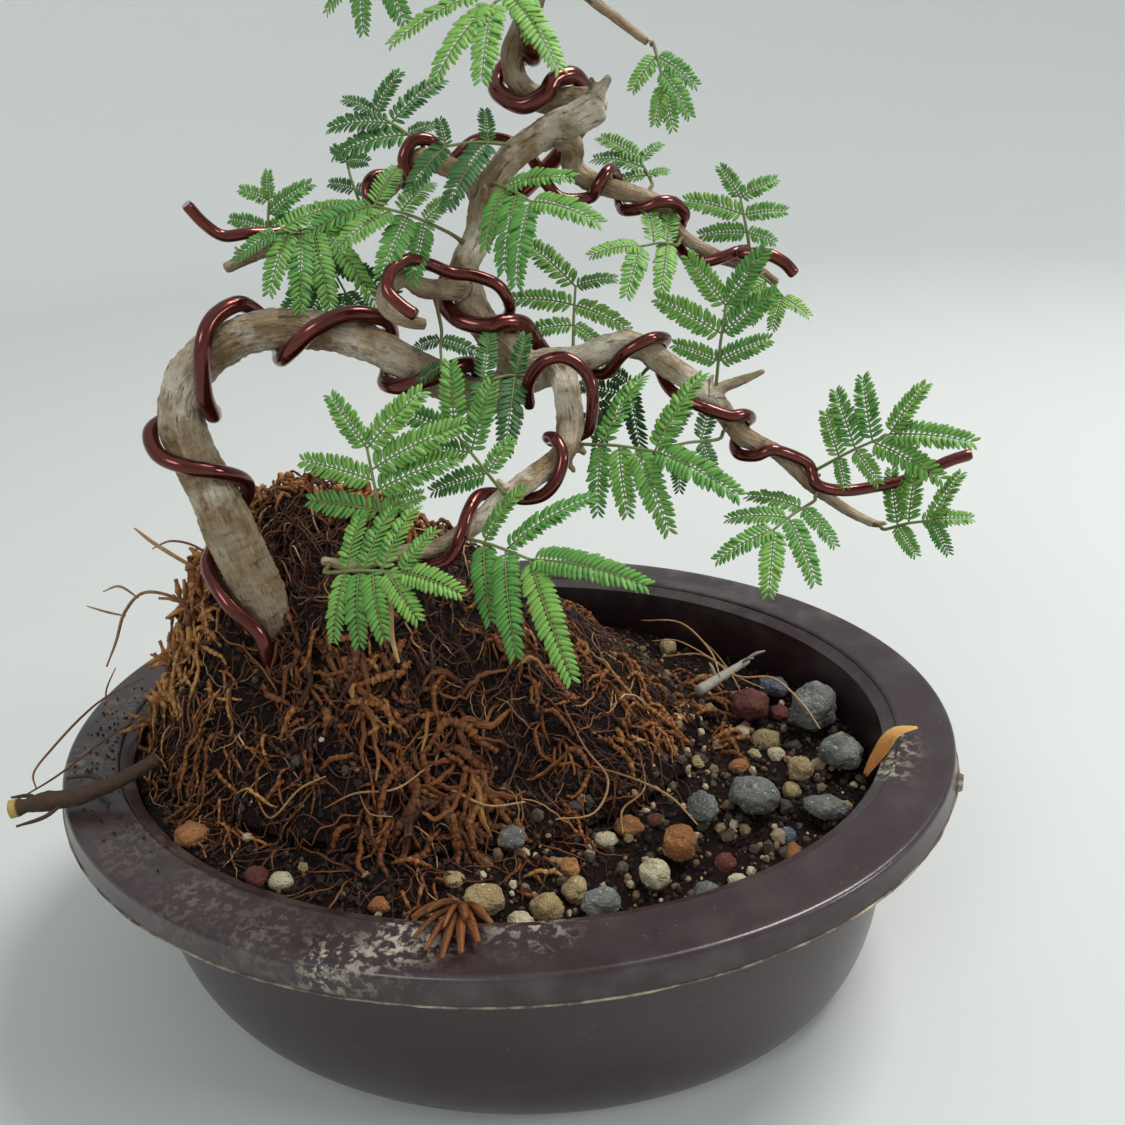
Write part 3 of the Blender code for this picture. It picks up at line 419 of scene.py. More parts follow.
# ---------------------------------------------------------------- finishes
def pot_finish():
    """Dark maroon-brown plastic, worn and dusty, with a painted grey sheen and lime crusts where the tones
    say so.
    """
    made = Finish("pot plastic", 0.4, coat=0.12)
    worn = made.patches(26.0, 0.5, 0.4)
    colour = made.mix(worn, (0.024, 0.0105, 0.013), (0.042, 0.020, 0.024))
    scuffs = made.patches(420.0, 0.14, 0.10)
    colour = made.mix(made.times(scuffs, 0.30), colour, (0.20, 0.17, 0.17))
    # dust and painted sheen as one pale grey: real dust, and a painted sheen where make_pot puts it on the
    # back of the rim's top
    dust_and_sheen = made.times(made.attribute("dust_and_sheen"), made.patches(120.0, 0.60, 0.45))
    colour = made.mix(dust_and_sheen, colour, (0.135, 0.135, 0.122))
    specks = made.patches(1400.0, 0.13, 0.05)
    colour = made.mix(made.times(specks, 0.6), colour, (0.30, 0.28, 0.24))
    crust = made.times(made.attribute("lime"), made.patches(620.0, 0.50, 0.10))
    colour = made.mix(crust, colour, (0.46, 0.42, 0.32))
    made.colour(colour)
    made.roughness(made.plus(made.plus(0.30, made.times(dust_and_sheen, 0.35)), made.times(crust, 0.5)))
    made.relief(900.0, 5200.0, 0.35, 0.10, 0.0006)
    return made.material


def fin_finish():
    """The rough pale line where the mould's halves met."""
    made = Finish("mould line", 0.85)
    spots = made.patches(200.0, 0.62, 0.25)
    made.colour(made.mix(spots, (0.10, 0.07, 0.06), (0.46, 0.38, 0.27)))
    made.relief(1200.0, 4000.0, 0.5, 0.6, 0.0006)
    return made.material


def peat_finish(name, rust):
    """Moist dark peat, with rusty fibres and crumbs, and painted highlights as wet glints."""
    made = Finish(name, 0.82, specular=0.14)
    colour = made.mix(made.patches(90.0, 0.5, 0.3), (0.0070, 0.0032, 0.0025), (0.022, 0.0085, 0.0058))
    colour = made.mix(made.times(made.patches(420.0, 0.34, 0.12), rust), colour, (0.085, 0.030, 0.012))
    # painted highlights: small pale glints of wet peat, painted into the colour
    painted_glints = made.patches(1500.0, 0.20, 0.05)
    colour = made.mix(made.times(painted_glints, 0.7), colour, (0.20, 0.15, 0.11))
    made.colour(colour)
    wet = made.patches(160.0, 0.5, 0.3)
    made.roughness(made.plus(0.42, made.times(wet, 0.45)))
    made.relief(700.0, 2600.0, 0.6, 1.0, 0.0012)
    return made.material


def toned_finish(name, dark, middle, light, roughness=0.75, grain=1200.0, strength=0.5):
    """A finish whose colour follows each strand's or crumb's own tone."""
    made = Finish(name, roughness, specular=0.32)
    tone = made.plus(made.attribute("tone"), made.times(made.patches(600.0, 0.5, 0.4), 0.24))
    tone = made.plus(tone, -0.12)
    made.colour(made.tones(tone, dark, middle, light))
    made.relief(grain, grain * 3.5, 0.5, strength, 0.0005)
    return made.material


def stone_finish(name, dark, light, speck, coverage):
    made = Finish(name, 0.86)
    colour = made.mix(made.patches(150.0, 0.52, 0.35), dark, light)
    colour = made.mix(made.patches(1100.0, coverage, 0.10), colour, speck)
    pits = made.patches(620.0, 0.26, 0.08)
    colour = made.mix(made.times(pits, 0.75), colour, (0.035, 0.028, 0.022))
    # darker towards the bottom of each stone, in patches, following its tone
    darker_low = made.times(made.attribute("tone"), made.patches(300.0, 0.7, 0.2))
    colour = made.mix(darker_low, colour, (0.035, 0.018, 0.012))
    made.colour(colour)
    made.relief(650.0, 2600.0, 0.6, 0.9, 0.0010)
    return made.material


def bark_finish():
    """Tan bark with grey-white weathered patches and darker cracks along the grain."""
    made = Finish("bark", 0.78)
    grain = made.attribute("grain", "Vector")
    streaks = made.patches(0.55, 0.5, 0.4, grain)
    colour = made.mix(streaks, (0.215, 0.138, 0.066), (0.52, 0.395, 0.215))
    pale = made.times(made.attribute("pale"), made.patches(130.0, 0.66, 0.20))
    colour = made.mix(pale, colour, (0.74, 0.68, 0.55))
    mottles = made.patches(260.0, 0.36, 0.12)
    colour = made.mix(made.times(mottles, 0.55), colour, (0.20, 0.135, 0.07))
    green = made.times(made.patches(60.0, 0.34, 0.3), 0.35)
    colour = made.mix(green, colour, (0.24, 0.24, 0.10))
    cracks = made.patches(1.3, 0.34, 0.07, grain)
    colour = made.mix(made.times(cracks, 0.75), colour, (0.085, 0.048, 0.025))
    specks = made.patches(900.0, 0.22, 0.07)
    colour = made.mix(made.times(specks, 0.5), colour, (0.10, 0.06, 0.035))
    colour = made.mix(made.attribute("tone"), colour, (0.055, 0.03, 0.018))
    made.colour(colour)
    height = made.group(RELIEF, "Height", Vector=grain, Coarse=0.8, Fine=3.0, Fine_Share=0.5)
    made.bump(height, 1.0, 0.0011)
    return made.material


def wire_finish():
    """Anodised aluminium, dark wine red with a coppery sheen where it faces the light."""
    made = Finish("anodised wire", 0.24, metallic=0.82, coat=0.5)
    rubbed = made.patches(60.0, 0.42, 0.4)
    colour = made.mix(rubbed, (0.105, 0.016, 0.011), (0.230, 0.036, 0.014))
    scrapes = made.patches(800.0, 0.14, 0.06)
    colour = made.mix(made.times(scrapes, 0.4), colour, (0.40, 0.20, 0.15))
    made.colour(colour)
    made.roughness(made.plus(0.20, made.times(made.patches(300.0, 0.45, 0.3), 0.14)))
    made.relief(500.0, 3000.0, 0.3, 0.10, 0.0004)
    return made.material


def cut_metal_finish():
    made = Finish("cut metal", 0.38, metallic=1.0)
    made.colour(made.mix(made.patches(1500.0, 0.45, 0.3), (0.55, 0.55, 0.56), (0.82, 0.82, 0.82)))
    made.relief(2500.0, 7000.0, 0.5, 0.3, 0.0003)
    return made.material


def leaf_finish():
    made = Finish("leaflets", 0.56)
    tone = made.plus(made.attribute("tone"), made.times(made.patches(500.0, 0.5, 0.5), 0.12))
    made.colour(made.tones(tone, (0.014, 0.060, 0.018), (0.080, 0.248, 0.040), (0.275, 0.480, 0.080)))
    made.relief(1800.0, 5200.0, 0.4, 0.35, 0.0003)
    return made.material


FINISHES = {
    "pot": pot_finish(),
    "fin": fin_finish(),
    "peat": peat_finish("peat", 0.45),
    "mound": peat_finish("rooty peat", 1.0),
    "crumbs": toned_finish("peat crumbs", (0.006, 0.004, 0.0035), (0.040, 0.017, 0.010), (0.20, 0.11, 0.055)),
    "grit": toned_finish("grit", (0.06, 0.045, 0.035), (0.30, 0.20, 0.10), (0.60, 0.54, 0.42), 0.85),
    "roots": toned_finish(
        "fine roots", (0.022, 0.007, 0.004), (0.19, 0.064, 0.020), (0.60, 0.42, 0.20), roughness=0.45
    ),
    "moss": toned_finish(
        "moss strands", (0.026, 0.008, 0.004), (0.235, 0.078, 0.020), (0.56, 0.31, 0.095),
        roughness=0.5, grain=1500.0, strength=0.9,
    ),
    "bark": bark_finish(),
    "wire": wire_finish(),
    "cut": cut_metal_finish(),
    "leaf": leaf_finish(),
    "stalk": toned_finish("leaf stalks", (0.13, 0.09, 0.04), (0.16, 0.25, 0.07), (0.30, 0.42, 0.14), 0.55),
    "dead_root": toned_finish(
        "dead root", (0.02, 0.011, 0.008), (0.07, 0.04, 0.022), (0.50, 0.36, 0.10), roughness=0.8
    ),
    "grey_wood": toned_finish("grey wood", (0.10, 0.085, 0.07), (0.30, 0.27, 0.23), (0.46, 0.43, 0.38), 0.85),
    "dry_leaf": toned_finish("dry leaf", (0.16, 0.05, 0.02), (0.42, 0.17, 0.04), (0.62, 0.45, 0.14), 0.6),
}
# dark, light and speckled colours of the stones, and how far the speckles cover them
STONE_COLOURS = {
    "stone_grey": ("grey stone", (0.12, 0.125, 0.115), (0.36, 0.37, 0.33), (0.58, 0.57, 0.50), 0.3),
    "stone_blue": ("blue-grey stone", (0.09, 0.10, 0.13), (0.20, 0.22, 0.27), (0.45, 0.47, 0.50), 0.3),
    "stone_red": ("red stone", (0.10, 0.025, 0.018), (0.26, 0.075, 0.045), (0.42, 0.20, 0.13), 0.2),
    "stone_orange": ("orange stone", (0.26, 0.10, 0.03), (0.48, 0.23, 0.075), (0.62, 0.42, 0.20), 0.25),
    "stone_tan": ("tan stone", (0.28, 0.20, 0.09), (0.56, 0.44, 0.22), (0.72, 0.64, 0.44), 0.3),
    "stone_cream": ("cream stone", (0.44, 0.38, 0.24), (0.74, 0.70, 0.56), (0.85, 0.83, 0.74), 0.3),
}
STONE_FINISHES = {slot: stone_finish(*colours) for slot, colours in STONE_COLOURS.items()}


# ---------------------------------------------------------------- pot
POT_SIDES = 240
RIM_WIDTH = 12.0
RIM_THICKNESS = 2.4
SKIRT_HEIGHT = 5.7
SKIRT_FLARE = 1.2
SKIRT_THICKNESS = 2.0
WALL = 2.6
FLOOR = 3.0
BASE_LENGTH = 130.0
BODY_ROUNDNESS = 4.5
DRAIN_RADIUS = 4.5
DRAIN_SPACING = 70.0

pot_high = box_mm("pot")[1]
POT_HEIGHT = pot_high[2]
HALF_LENGTH = pot_high[0] - SKIRT_FLARE  # at the rim's top edge
HALF_DIFFERENCE = pot_high[0] - pot_high[1]  # between half the length and half the width, in every ring

# x, y, reach in mm and strength of the lime crusts on the rim
LIME = (
    (-11, -83, 6, 0.9), (-4, -81, 5, 0.7), (1, -76, 7, 1.0), (7, -74, 5, 0.8), (25, -69, 6, 0.7),
    (19, -71, 5, 0.5), (-95, -33, 9, 0.30), (-41, -70, 12, 0.15), (-62, -58, 12, 0.13), (90, -17, 4, 1.0),
    (92, -11, 4, 0.9), (94, -6, 3, 0.6), (-98, -8, 10, 0.18), (-25, -78, 12, 0.13),
)


def oval(half_length, z, sides):
    turns = math.tau * np.arange(sides) / sides
    ring = np.empty((sides, 3))
    ring[:, 0] = half_length * np.cos(turns)
    ring[:, 1] = (half_length - HALF_DIFFERENCE) * np.sin(turns)
    ring[:, 2] = z
    return ring


def body_half_length(z, inset=0.0):
    """Half the body's length at a height, on its rounded side."""
    base, top = BASE_LENGTH / 2, HALF_LENGTH - RIM_WIDTH - 0.4
    rise = min(max(1 - z / (POT_HEIGHT - SKIRT_HEIGHT), 0.0), 1.0)
    return base + (top - base) * (1 - rise**BODY_ROUNDNESS) ** (1 / BODY_ROUNDNESS) - inset


def rounded(centre, radius, start, end, steps):
    """Points on a round edge in the pot's profile, from one angle to another in degrees."""
    points = []
    for i in range(steps + 1):
        turn = math.radians(start + (end - start) * i / steps)
        points.append((centre[0] + radius * math.cos(turn), centre[1] + radius * math.sin(turn)))
    return points


# heights of the body's outside rings, close together where it rounds into its base
BODY_HEIGHTS = (
    0.0, 0.12, 0.4, 0.9, 1.6, 2.6, 4.0, 5.8, 8.0, 11.0, 14.0, 18.0, 23.0, 28.0, 34.0, 40.0, 46.0, 52.0,
)


def pot_profile():
    top, foot = POT_HEIGHT, POT_HEIGHT - SKIRT_HEIGHT
    under = POT_HEIGHT - RIM_THICKNESS
    outside = [(body_half_length(z), z) for z in BODY_HEIGHTS]
    lip = [(body_half_length(foot), foot), (body_half_length(foot), under)]
    skirt = [
        (HALF_LENGTH - SKIRT_THICKNESS, under),
        (HALF_LENGTH + SKIRT_FLARE - SKIRT_THICKNESS, foot + 0.2),
        (HALF_LENGTH + SKIRT_FLARE - SKIRT_THICKNESS + 0.3, foot),
        (HALF_LENGTH + SKIRT_FLARE - 0.3, foot),
        (HALF_LENGTH + SKIRT_FLARE - 0.02, foot + 0.3),
        (HALF_LENGTH + 0.75, foot + 2.4),
        (HALF_LENGTH + 0.42, top - 1.7),
    ]
    edge = rounded((HALF_LENGTH - 0.75, top - 1.15), 1.15, 10, 90, 7)
    flat = [(HALF_LENGTH - 2.6, top + 0.02), (HALF_LENGTH - 6.0, top - 0.16), (HALF_LENGTH - 9.0, top - 0.12)]
    inner = rounded((HALF_LENGTH - RIM_WIDTH + 0.9, top - 1.0), 0.95, 90, 175, 6)
    step = [(body_half_length(60.0, WALL) + 0.25, top - 2.4), (body_half_length(58.0, WALL), top - 4.2)]
    inside = [(body_half_length(z, WALL), z) for z in (54.0, 48.0, 40.0, 30.0, 20.0, 12.0, 8.0, 5.0)]
    floor = [(body_half_length(FLOOR, WALL) - 2.0, FLOOR)]
    return outside + lip + skirt + edge + flat + inner + step + inside + floor


def make_pot():
    profile = pot_profile()
    rings = [oval(r, z, POT_SIDES) for r, z in profile]
    corners = np.vstack(rings)
    wobble = [0.22 * lumps((x, y, 0.0), 55.0, 1) for x, y, z in corners]
    raised = np.clip((corners[:, 2] - 30.0) / 30.0, 0, 1)
    corners[:, 2] += np.array(wobble) * raised
    skin = ring_faces(len(rings), POT_SIDES)
    shell = piece("pot_shell", corners, skin, [FINISHES["pot"]], ["pot"], flat_angle=42)
    drill_drains(shell)
    mesh = shell.data
    places = np.array([v.co for v in mesh.vertices]) / MM
    lime = np.zeros(len(places))
    for x, y, reach, strength in LIME:
        away = np.hypot(places[:, 0] - x, places[:, 1] - y) / reach
        lime = np.maximum(lime, strength * np.exp(-(away**2) * 1.6))
    on_rim = np.clip((places[:, 2] - POT_HEIGHT + SKIRT_HEIGHT + 1.0) / 2.5, 0, 1)
    top = np.clip((places[:, 2] - POT_HEIGHT + 0.8) / 0.6, 0, 1)
    foot = np.clip(1 - places[:, 2] / 22.0, 0, 1)
    behind = np.clip(places[:, 1] / 60.0, 0, 1)
    skirt = on_rim * (1 - top)
    # Pale grey: a little everywhere, more on the skirt and towards the foot, and painted sheen on the back of
    # the rim's top (top * behind).
    dust_and_sheen = np.clip(0.06 + 0.10 * top + 0.60 * top * behind + 0.40 * skirt + 0.55 * foot, 0, 1)
    for name, values in (("lime", lime * on_rim), ("dust_and_sheen", dust_and_sheen)):
        mesh.attributes.new(name, "FLOAT", "POINT").data.foreach_set("value", values.astype(np.float32))


def drill_drains(shell):
    """Cuts the drain holes in the pot's floor."""
    for side in (-1, 1):
        drill = bpy.data.objects.new("drill", bpy.data.meshes.new("drill"))
        rings = [oval(DRAIN_RADIUS, z, 32) for z in (-3.0, FLOOR + 3.0)]
        for ring in rings:
            ring[:, 1] *= DRAIN_RADIUS / (DRAIN_RADIUS - HALF_DIFFERENCE)
            ring[:, 0] += side * DRAIN_SPACING / 2
        drill.data.from_pydata((np.vstack(rings) * MM).tolist(), [], ring_faces(2, 32))
        bpy.context.scene.collection.objects.link(drill)
        cut = shell.modifiers.new("drain", "BOOLEAN")
        cut.operation = "DIFFERENCE"
        cut.solver = "EXACT"
        cut.object = drill
        mesh = bpy.data.meshes.new_from_object(shell.evaluated_get(bpy.context.evaluated_depsgraph_get()))
        shell.modifiers.clear()
        shell.data = mesh
        bpy.data.objects.remove(drill)


def make_mould_line():
    """The thin ragged fin along the skirt's lower edge, with one larger tab at the right."""
    sides = 900
    foot = POT_HEIGHT - SKIRT_HEIGHT
    base = oval(HALF_LENGTH + SKIRT_FLARE - 0.35, foot, sides)
    outward = base * (1, 1, 0)
    outward /= np.linalg.norm(outward, axis=1)[:, None]
    reach = np.empty(sides)
    for i, point in enumerate(base):
        ragged = 0.55 + 0.55 * lumps(point, 9.0, 4)
        reach[i] = 0.30 + 0.42 * max(0.0, ragged)
        if abs(math.degrees(math.atan2(point[1], point[0])) + 7.5) < 1.6:
            reach[i] += 0.8
    thick = 0.32
    drop = np.array([0.22 * lumps(p + 40.0, 12.0, 3) for p in base])
    edge = base + outward * reach[:, None]
    edge[:, 2] += drop
    rings = [base + UP * thick / 2, edge + UP * thick * 0.35, edge - UP * thick * 0.35, base - UP * thick / 2]
    faces = []
    for i in range(4):
        for k in range(sides):
            n, j = (k + 1) % sides, (i + 1) % 4
            faces.append((i * sides + k, j * sides + k, j * sides + n, i * sides + n))
    piece("pot_mould_line", np.vstack(rings), faces, [FINISHES["fin"]])


# ---------------------------------------------------------------- soil, mound and what lies on them
GAP = 0.35


def make_soil():
    """The potting soil: a rough bed inside the wall, at the level of its CAD node."""
    corners, faces = node_shape("potting_soil")
    level = BVHTree.FromPolygons(corners.tolist(), faces)
    sides, shares = 260, [1.0, 0.985, *np.linspace(0.96, 0.02, 46)]
    rings = [oval(body_half_length(z, WALL) - GAP, z, sides) for z in (8.0, 14.0, 24.0, 34.0, 40.0)]
    edge = oval(body_half_length(50.0, WALL) - GAP, 0.0, sides)
    for share in shares:
        ring = edge * share
        for point in ring:
            hit = level.ray_cast(Vector((point[0] * 0.985, point[1] * 0.985, 90.0)), Vector((0, 0, -1)))[0]
            bump = 0.9 * lumps((point[0], point[1], 5.0), 11.0, 4)
            bump += 0.45 * lumps((point[0], point[1], 50.0), 2.6, 3)
            point[2] = (hit[2] if hit else 46.0) + bump - 0.2
        rings.append(ring)
    skin = np.vstack(rings)
    faces = ring_faces(len(rings), sides)
    piece("soil_bed", skin, faces, [FINISHES["peat"]], ["potting_soil"])
    return skin, faces


def make_mound():
    """The root ball, rough all over."""
    corners, faces = node_shape("root_ball")
    points, normals, skin = remeshed(corners, faces, 0.85, 4)
    rough = np.empty(len(points))
    for i, point in enumerate(points):
        rough[i] = 1.5 * lumps(point, 10.0, 4) + 0.6 * lumps(point + 30.0, 3.0, 3)
    points = points + normals * rough[:, None]
    piece("root_mound", points, skin, [FINISHES["mound"]], ["root_ball"])
    return points, skin


def ground_under(*shapes):
    """The BVH of what strands and crumbs lie on."""
    corners, faces, start = [], [], 0
    for points, polygons in shapes:
        corners.append(points)
        faces += [tuple(start + i for i in face) for face in polygons]
        start += len(points)
    return BVHTree.FromPolygons(np.vstack(corners).tolist(), faces)


def drop(ground, x, y):
    """Height and slope of the ground at a place, or None outside the pot."""
    hit, normal = ground.ray_cast(Vector((x, y, 180.0)), Vector((0, 0, -1)))[:2]
    return (hit[2], np.array(normal)) if hit else None


def on_soil(x, y):
    half = HALF_LENGTH - RIM_WIDTH - WALL - 1.5
    return (x / half) ** 2 + (y / (half - HALF_DIFFERENCE)) ** 2 < 1


def laid_strand(ground, draw, x, y, bearing, length, lift, wander):
    """Points of a limp strand that lies on the ground, wandering from its bearing."""
    step = 1.3
    points = []
    bend = draw.uniform(-wander, wander)
    count = max(4, int(length / step))
    for i in range(count):
        found = drop(ground, x, y)
        if found is None or not on_soil(x, y):
            break
        height, normal = found
        arch = math.sin(math.pi * i / (count - 1)) * lift
        points.append((x, y, height + arch + 0.15))
        slope = max(normal[2], 0.30)
        downhill = unit(np.array(normal[:2]) + 1e-6)
        bearing += bend * 0.4 + draw.uniform(-wander, wander)
        move = np.array((math.cos(bearing), math.sin(bearing))) * step
        x, y = np.array((x, y)) + move - downhill * move.dot(downhill) * (1 - slope)
    return np.array(points)


def taper(count, thin=0.35):
    share = np.linspace(0, 1, count)
    return thin + (1 - thin) * np.sin(math.pi * np.clip(share, 0.06, 0.94)) ** 0.6


FINE_ROOTS = 2500
ROOTS_REACH = (88.0, 66.0)  # from the mound's peak, along the pot and across it


def make_fine_roots(ground, peak):
    """Rusty and pale hair roots all over the mound and thinning out over the soil."""
    draw = random.Random(11)
    front, back = Gather(), Gather()
    for _ in range(FINE_ROOTS):
        turn, share = draw.uniform(0, math.tau), draw.random() ** 0.65
        x = peak[0] + ROOTS_REACH[0] * share * math.cos(turn)
        y = peak[1] + ROOTS_REACH[1] * share * math.sin(turn) - 6
        if not on_soil(x, y) or (x > 38 and draw.random() < 0.55):
            continue
        away, wander = math.atan2(y - peak[1], x - peak[0]), draw.uniform(0.22, 0.62)
        bearing, length, lift = away + draw.gauss(0, 1.1), draw.uniform(6, 24), draw.uniform(0, 2.4)
        line = laid_strand(ground, draw, x, y, bearing, length, lift, wander)
        if len(line) < 4:
            continue
        tone = min(1.0, max(0.0, draw.gauss(0.27, 0.17)))
        if draw.random() < 0.07:
            tone = draw.uniform(0.7, 1.0)
        radius = draw.choice((0.10, 0.14, 0.19, 0.27))
        tube(front if y < peak[1] else back, spline(line, 2), radius * taper(2 * len(line) - 1), 4, tone)
    gathered_piece("fine_roots_front", front, [FINISHES["roots"]])
    gathered_piece("fine_roots_back", back, [FINISHES["roots"]])


SCALE_FACES = [(0, 1, 3), (1, 2, 3), (2, 0, 3), (0, 2, 1)]


def moss_strand(gather, draw, line, radius, tone):
    """One curled strand of sphagnum: a stem thick with small overlapping scale leaves."""
    line = spline(line, 3)
    count = len(line)
    rough = [1 + 0.28 * math.sin(2.3 * i + draw.random()) + draw.uniform(-0.12, 0.12) for i in range(count)]
    tones = tone + 0.16 * np.sin(np.arange(count) * 1.9) + [draw.uniform(-0.08, 0.08) for _ in range(count)]
    tube(gather, line, radius * taper(count, 0.3) * rough, 6, np.clip(tones, 0, 1), 0.62)
    ahead, across, beside = frames(line)
    for i in range(1, count - 1):
        if draw.random() < 0.45:
            continue
        turn = draw.uniform(0, math.tau)
        out = across[i] * math.cos(turn) + beside[i] * math.sin(turn)
        reach = radius * draw.uniform(0.9, 1.7)
        foot = line[i] + out * radius * 0.4
        tip = foot + unit(out + ahead[i] * 1.2) * reach
        wide = np.cross(out, ahead[i]) * radius * 0.42
        thick = out * radius * 0.14
        shape = [foot - wide, foot + wide, foot + thick * 2, tip]
        gather.add(shape, SCALE_FACES, min(1.0, tone + draw.uniform(-0.1, 0.25)))


# piece: its CAD node, strands, tone, radius and how far they stand up
MOSS = {
    "moss_crown_strands": ("moss_crown", 190, 0.60, 0.75, 5.0),
    "moss_left_strands": ("moss_left", 260, 0.58, 0.80, 5.0),
    "moss_front_strands": ("moss_front", 60, 0.40, 0.80, 3.0),
    "moss_right_strands": ("moss_right", 70, 0.48, 0.68, 3.0),
}


def make_moss(ground, name, node, count, tone, radius, lift):
    draw = random.Random(len(name) * 7 + count)
    low, high = box_mm(node)
    middle, half = (low + high) / 2, (high - low) / 2
    gather = Gather()
    for _ in range(count):
        turn, share = draw.uniform(0, math.tau), draw.random() ** 0.5
        x, y = middle[0] + half[0] * share * math.cos(turn), middle[1] + half[1] * share * math.sin(turn)
        stand = draw.uniform(0.2, 1.0) ** 2 * lift
        line = laid_strand(ground, draw, x, y, draw.uniform(0, math.tau), draw.uniform(5, 12), stand, 0.55)
        if len(line) < 4:
            continue
        own_radius, own_tone = radius * draw.uniform(0.55, 1.15), min(1, max(0, draw.gauss(tone, 0.18)))
        moss_strand(gather, draw, line, own_radius, own_tone)
    gathered_piece(name, gather, [FINISHES["moss"]], [node])


# tufts of strands on the mound and the soil: x, y, spread, bearing in degrees, strands, length, radius, tone
TUFTS = (
    (-38, -17, 5, -60, 10, 12, 0.85, 0.42), (-30, -23, 6, -40, 12, 13, 0.95, 0.48),
    (-22, -27, 5, -20, 9, 11, 0.8, 0.6), (-14, -12, 5, -100, 7, 8, 0.7, 0.3),
    (-12, -31, 4, -95, 9, 13, 1.15, 0.40), (-3, -17, 6, -100, 14, 13, 0.9, 0.52),
    (3, -26, 5, -110, 13, 15, 1.1, 0.45), (-4, -36, 4, -80, 9, 12, 1.25, 0.32),
    (2, -33, 4, -60, 8, 13, 1.1, 0.38), (11, 0, 6, 170, 14, 11, 0.8, 0.58),
    (24, 8, 7, -30, 14, 10, 0.75, 0.6), (14, 11, 6, 60, 9, 9, 0.8, 0.5), (30, -4, 5, -60, 8, 9, 0.7, 0.5),
    (38, 10, 7, -20, 16, 10, 0.65, 0.5), (47, 28, 8, -30, 16, 10, 0.6, 0.55),
    (40, 40, 7, 20, 10, 9, 0.6, 0.5), (52, 14, 5, 0, 10, 9, 0.7, 0.55), (28, 24, 8, -30, 12, 9, 0.65, 0.5),
    (-3, -55, 6, -60, 10, 7, 0.6, 0.55), (-14, -48, 6, 10, 6, 8, 0.6, 0.4),
    (12, -40, 6, -30, 8, 8, 0.6, 0.45), (-65, -16, 7, -110, 22, 8, 0.70, 0.78),
    (-72, -18, 6, -120, 22, 8, 0.65, 0.85), (-60, -27, 6, -90, 14, 10, 0.5, 0.6),
    (-66, -33, 6, -110, 12, 11, 0.4, 0.5), (-56, -35, 6, -80, 12, 11, 0.5, 0.45),
    (-80, -14, 5, -130, 20, 8, 0.6, 0.9), (-77, -30, 6, -120, 10, 11, 0.35, 0.65),
    (-44, -30, 6, -70, 9, 10, 0.55, 0.4), (-50, -44, 6, -60, 8, 9, 0.4, 0.6),
    (-48, -8, 5, -100, 9, 9, 0.6, 0.4), (-26, -8, 6, -80, 10, 9, 0.6, 0.42),
    (-18, -42, 6, -70, 10, 10, 0.7, 0.35), (16, -14, 6, -60, 11, 10, 0.75, 0.5),
    (22, -26, 6, -50, 9, 9, 0.6, 0.55), (34, 2, 6, -20, 10, 9, 0.65, 0.55),
    (-34, -38, 6, -60, 9, 9, 0.55, 0.4), (-62, 36, 7, 110, 14, 10, 0.5, 0.6),
    (-46, 44, 7, 95, 12, 11, 0.6, 0.5), (-28, 46, 7, 80, 12, 11, 0.6, 0.45),
    (-12, 40, 7, 70, 12, 11, 0.7, 0.5), (-76, 22, 6, 140, 14, 9, 0.5, 0.75),
    (-84, 4, 5, 170, 12, 9, 0.5, 0.8), (4, 44, 7, 70, 10, 10, 0.6, 0.5), (18, 36, 7, 60, 10, 9, 0.6, 0.5),
    (-36, 32, 7, 90, 10, 10, 0.7, 0.45), (-56, 50, 6, 100, 8, 9, 0.5, 0.5),
    (-20, 54, 6, 80, 8, 9, 0.5, 0.5),
)


def make_tufts(ground):
    """Bunches of rusty bracts and golden fibres, each bunch combed one way."""
    draw = random.Random(5)
    gather = Gather()
    for x, y, spread_out, bearing, count, length, radius, tone in TUFTS:
        for _ in range(count):
            start = (x + draw.gauss(0, spread_out * 0.45), y + draw.gauss(0, spread_out * 0.45))
            if not on_soil(*start):
                continue
            way = math.radians(bearing) + draw.gauss(0, 0.55)
            lift = draw.uniform(0.4, 3.4)
            line = laid_strand(ground, draw, *start, way, length * draw.uniform(0.7, 1.6), lift, 0.42)
            if len(line) < 4:
                continue
            own = min(1.0, max(0.0, draw.gauss(tone, 0.13)))
            if radius > 0.7 and draw.random() < 0.65:
                add_bract(gather, draw, line, radius * draw.uniform(0.5, 0.95), own)
            else:
                moss_strand(gather, draw, line, radius * draw.uniform(0.6, 1.1), own)
    gathered_piece("moss_tufts", gather, [FINISHES["moss"]])


BRACT_FLATNESS = 0.55


def add_bract(gather, draw, line, radius, tone):
    """A smooth flattened strand with lengthwise folds, thick in its middle."""
    line = spline(line, 3)
    count, sides = len(line), 10
    _, across, beside = frames(line)
    turns = math.tau * np.arange(sides) / sides
    folds = 1 + 0.16 * np.cos(5 * turns + draw.uniform(0, 6))
    sizes = radius * taper(count, 0.12) * np.array([draw.uniform(0.90, 1.10) for _ in range(count)])
    ring = turned(across, beside, folds * np.cos(turns), BRACT_FLATNESS * folds * np.sin(turns))
    corners = (line[:, None] + ring * sizes[:, None, None]).reshape(-1, 3)
    tones = np.clip(tone + 0.12 * np.cos(5 * turns)[None, :] + np.linspace(-0.28, 0.14, count)[:, None], 0, 1)
    gather.add(corners, ring_faces(count, sides), tones.reshape(-1))
